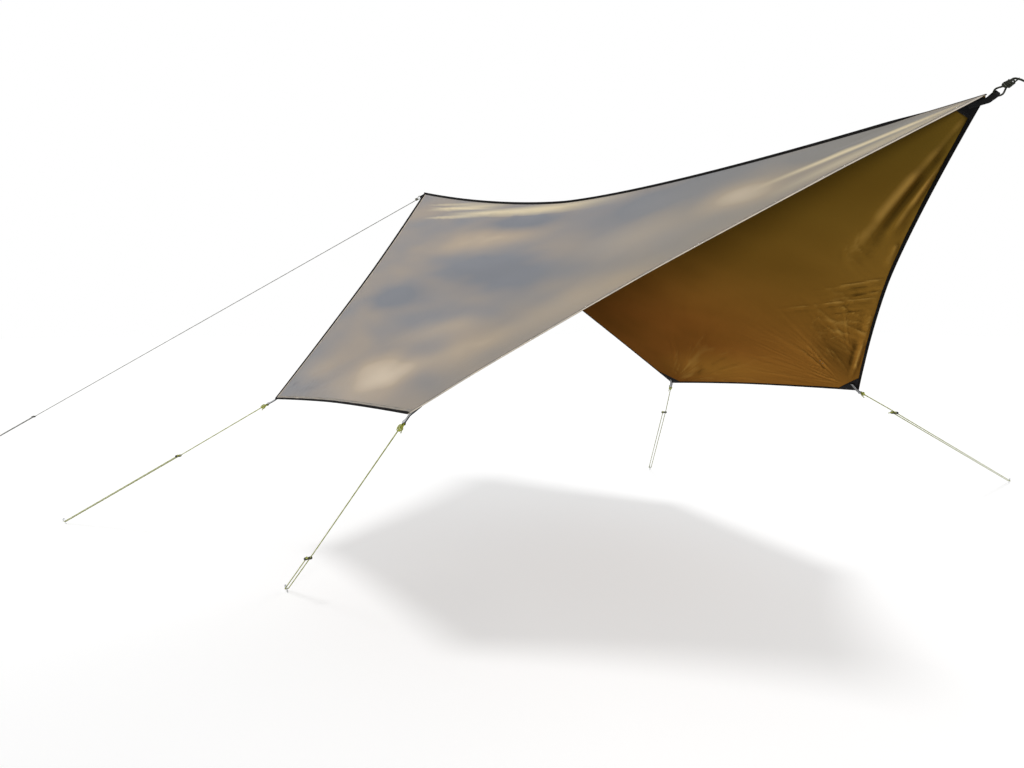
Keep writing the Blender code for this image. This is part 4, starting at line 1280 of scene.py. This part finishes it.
def strap_path(seat):
    """The folded webbing's middle line, its width's ways and its face's ways: tail, base, eye,
    base, tail."""
    half_gap = (WEBBING_THICKNESS + TOUCH) / 2
    radius = EYE_RADIUS + WEBBING_THICKNESS / 2
    base, eye, pull, normal, inward, side = (seat[key] for key in (
        "base", "eye", "pull", "normal", "inward", "side"))
    sign = math.copysign(1.0, np.cross(side, pull).dot(normal))
    outer = unit(np.cross(side, pull)) * sign
    bend = unit(normal + outer)
    bend = bend / bend.dot(outer)
    tail_side = unit(np.cross(normal, inward))
    wrap = math.pi - math.atan2(half_gap, EYE_FLARE)
    wrap -= math.acos(radius / math.hypot(half_gap, EYE_FLARE))

    def strand(off):
        return [(base + inward * LOOP_TAIL + normal * off, tail_side),
                (base + bend * off, tail_side), (eye - pull * EYE_FLARE + outer * off, side)]

    arc = [(eye + (pull * math.cos(angle) + outer * math.sin(angle)) * radius, side)
           for angle in wrap - 2 * wrap * steps(16)]
    track = np.array(strand(half_gap) + arc + strand(-half_gap)[::-1])
    far = travelled(track[:, 0])
    fine = np.linspace(0.0, far[-1], 150)
    track = np.stack([np.interp(fine, far, numbers) for numbers in track.reshape(-1, 6).T], 1)
    for turn in range(3):
        track[1:-1] = (track[:-2] + 2 * track[1:-1] + track[2:]) / 4
    points, ways = track[:, :3], unit(track[:, 3:])
    return points, ways, unit(np.cross(ways, headings(points))) * sign


def make_loops(seats, materials):
    made = []
    half, thick, edge = WEBBING_WIDTH / 2, WEBBING_THICKNESS / 2, 0.0005
    profile = np.array([(-half + edge, thick), (-half * 0.5, thick), (0.0, thick),
                        (half * 0.5, thick), (half - edge, thick), (half, thick - edge),
                        (half, -thick + edge), (half - edge, -thick), (0.0, -thick),
                        (-half + edge, -thick), (-half, -thick + edge), (-half, thick - edge)])
    for label, seat in seats.items():
        points, ways, faces = strap_path(seat)
        middle = np.linspace(-1.0, 1.0, len(points))
        gather = column(1.0 - 0.3 * np.exp(-(middle / 0.22) ** 2))[:, :, None]
        rings = (points[:, None, :] + ways[:, None, :] * profile[:, :1] * gather
                 + faces[:, None, :] * profile[:, 1:])
        name = label + "_webbing"
        mesh = outward(skin(name, rings, uv=strip_places(girth(profile), travelled(points))))
        finish = "webbing" if label.endswith("ridge") else "striped_webbing"
        made.append(finish_piece(name, mesh, [materials[finish]], "webbing", label + "_loop"))
    return made


# Stitching

def stitch_tree():
    """Lays a stitch along each row every pitch, flat on the surface that the row follows."""
    tree = bpy.data.node_groups.new("sewn_rows", "GeometryNodeTree")
    for name, kind in (("Rows", "Geometry"), ("Pitch", "Float"), ("Stitch Length", "Float"),
                       ("Thread Width", "Float"), ("Thread", "Material")):
        tree.interface.new_socket(name, in_out="INPUT", socket_type="NodeSocket" + kind)
    tree.interface.new_socket("Stitches", in_out="OUTPUT", socket_type="NodeSocketGeometry")
    add = partial(add_node, tree)
    given = add("NodeGroupInput").node.outputs
    curves = add("GeometryNodeMeshToCurve", given["Rows"])
    spaced = add("GeometryNodeResampleCurve", {"Curve": curves, "Length": given["Pitch"]},
                 mode="LENGTH")
    facing = add("GeometryNodeInputNamedAttribute", "facing", data_type="FLOAT_VECTOR")
    turn = add("FunctionNodeAxesToRotation", facing, add("GeometryNodeInputTangent"),
               primary_axis="Z", secondary_axis="X")
    size = add("CombineXYZ", given["Stitch Length"], given["Thread Width"], given["Thread Width"])
    bead = add("GeometryNodeMeshUVSphere", 6, 4, 0.5)
    lay = add("GeometryNodeInstanceOnPoints", {"Points": spaced, "Instance": bead,
                                               "Rotation": turn, "Scale": size})
    solid = add("GeometryNodeRealizeInstances", lay)
    add("NodeGroupOutput", add("GeometryNodeSetMaterial", {"Geometry": solid,
                                                           "Material": given["Thread"]}))
    return tree


def sew(name, rows, tree, materials, pitch=0.0036, stitch=0.0029, thread=0.0007):
    """Stitches along rows of points, each row given with the way its surface faces."""
    points, edges, facings = [], [], []
    for path, facing in rows:
        start = len(points)
        points += path.tolist()
        facings += np.broadcast_to(facing, path.shape).tolist()
        edges += [(start + index, start + index + 1) for index in range(len(path) - 1)]
    mesh = bpy.data.meshes.new(name)
    mesh.from_pydata(points, edges, [])
    attribute = mesh.attributes.new("facing", "FLOAT_VECTOR", "POINT")
    attribute.data.foreach_set("vector", np.array(facings, np.float32).ravel())
    rows_piece = add_piece(name + "_rows", mesh)
    sewn = rows_piece.modifiers.new("Stitches", "NODES")
    sewn.node_group = tree
    given = {"Pitch": pitch, "Stitch Length": stitch, "Thread Width": thread,
             "Thread": materials["thread"]}
    for item in tree.interface.items_tree:
        if item.in_out == "INPUT" and item.name in given:
            sewn[item.identifier] = given[item.name]
    return finish_piece(name, settled(rows_piece), [materials["thread"]], "binding")


def edge_rows(side):
    """Rows along the three bound edges of a wing, on top and underneath."""
    rows = []
    hem = CLOTH / 2 + TAPE_GAP + HEM_FOLD
    tape = CLOTH / 2 + TAPE_GAP + TAPE_WALL
    for edge, (black, pale, under) in EDGE_TRIM.items():
        insets = np.array((black, black + pale, under)) - SEAM_INSET
        shares = edge_shares(side, edge, 0.004, TRIM_STEPS)
        points, normals = edge_strip(side, edge, shares, insets)[:2]
        if black > 0.01:
            rows.append((points[:, 0] + normals[:, 0] * tape, normals[:, 0]))
        rows.append((points[:, 1] + normals[:, 1] * hem, normals[:, 1]))
        rows.append((points[:, 2] - normals[:, 2] * tape, -normals[:, 2]))
    return rows


def patch_rows(side):
    """Two rows round each patch, on its underside."""
    rows = []
    b = steps(24)
    for corner in PATCHES:
        for a in (0.93, 0.86):
            u, v = patch_place(side, corner, a, b)
            normals = wing_normal(side, u, v)
            depth = column(patch_depth(a, b) + PATCH_WALL / 2)
            rows.append((wing_point(side, u, v) - normals * depth, -normals))
    return rows


def ridge_rows():
    """A row on each flange of the ridge's tape, and one under it."""
    shares = steps(RIDGE_STEPS)
    top = ridge_point(shares)
    shown, width = ridge_flange(shares, travelled(top))
    sewn = (shown > 0.8) & (width > 0.008)
    rows = []
    for side in (NEAR, FAR):
        over, up = beside_ridge(side, shares, top)
        line = top + over * column(width - SEAM_INSET)
        rows.append(((line + up * (CLOTH / 2 + 0.0008))[sewn], up[sewn]))
        rows.append(((line - up * (CLOTH / 2 + 0.0007))[sewn], -up[sewn]))
    return rows


def loop_rows(seats):
    """A box and cross on each loop's tail, on the outer strand's face."""
    rows = []
    near, far, half = 0.006, LOOP_TAIL - 0.004, WEBBING_WIDTH / 2 - 0.0025
    corners = [(near, -half), (far, -half), (far, half), (near, half), (near, -half),
               (far, half), (far, -half), (near, half)]
    for label, seat in seats.items():
        facing = seat["normal"] if label == "rear_ridge" else -seat["normal"]
        origin = seat["base"] + facing * (WEBBING_THICKNESS + TOUCH / 2 + 0.0001)
        places = laid(corners, origin, seat["inward"], unit(np.cross(seat["normal"],
                                                                     seat["inward"])))
        rows += [(straight(first, second, steps(4)), facing)
                 for first, second in zip(places, places[1:])]
    return rows


def make_materials():
    return {
        "top": cloth_top_material(), "underside": cloth_underside_material(),
        "hem": folded_hem_material(), "tape": tape_material(), "patch": patch_material(),
        "webbing": webbing_material("black_webbing", False),
        "striped_webbing": webbing_material("reflective_webbing", True),
        "cord": braid_material("braided_guyline", "#959a34", "#4f5418", "#d6d8ac"),
        "grey_cord": braid_material("grey_braided_guyline", "#58574c", "#2e2d27", "#a9a99c"),
        "dark_cord": braid_material("dark_braided_guyline", "#2a2b22", "#12130e", "#5a5b52"),
        "thread": thread_material(), "nylon": nylon_material(), "steel": steel_material(),
    }


def main():
    make_camera()
    materials = make_materials()
    seats = {label: line_seat(label) for label in LOOP_REACH}
    shapes = {"hitch": hitch_shape(), "stopper": stopper_shape(),
              "tensioner": tensioner_shape(materials["nylon"]), "peg": peg_shape()}
    for label, seat in seats.items():
        make_guyline(label, seat, shapes, materials)
    make_ground()
    make_light()
    canopy, area = make_canopy(materials)
    tapes = make_tapes(materials) + [make_ridge_tape(materials)]
    patches = make_patches(materials)
    loops = make_loops(seats, materials)
    tree = stitch_tree()
    stitches = [sew("near_wing_stitching", edge_rows(NEAR) + patch_rows(NEAR), tree, materials),
                sew("far_wing_stitching", edge_rows(FAR) + patch_rows(FAR), tree, materials),
                sew("ridge_stitching", ridge_rows(), tree, materials),
                sew("loop_stitching", loop_rows(seats), tree, materials, 0.0022, 0.0019)]


main()
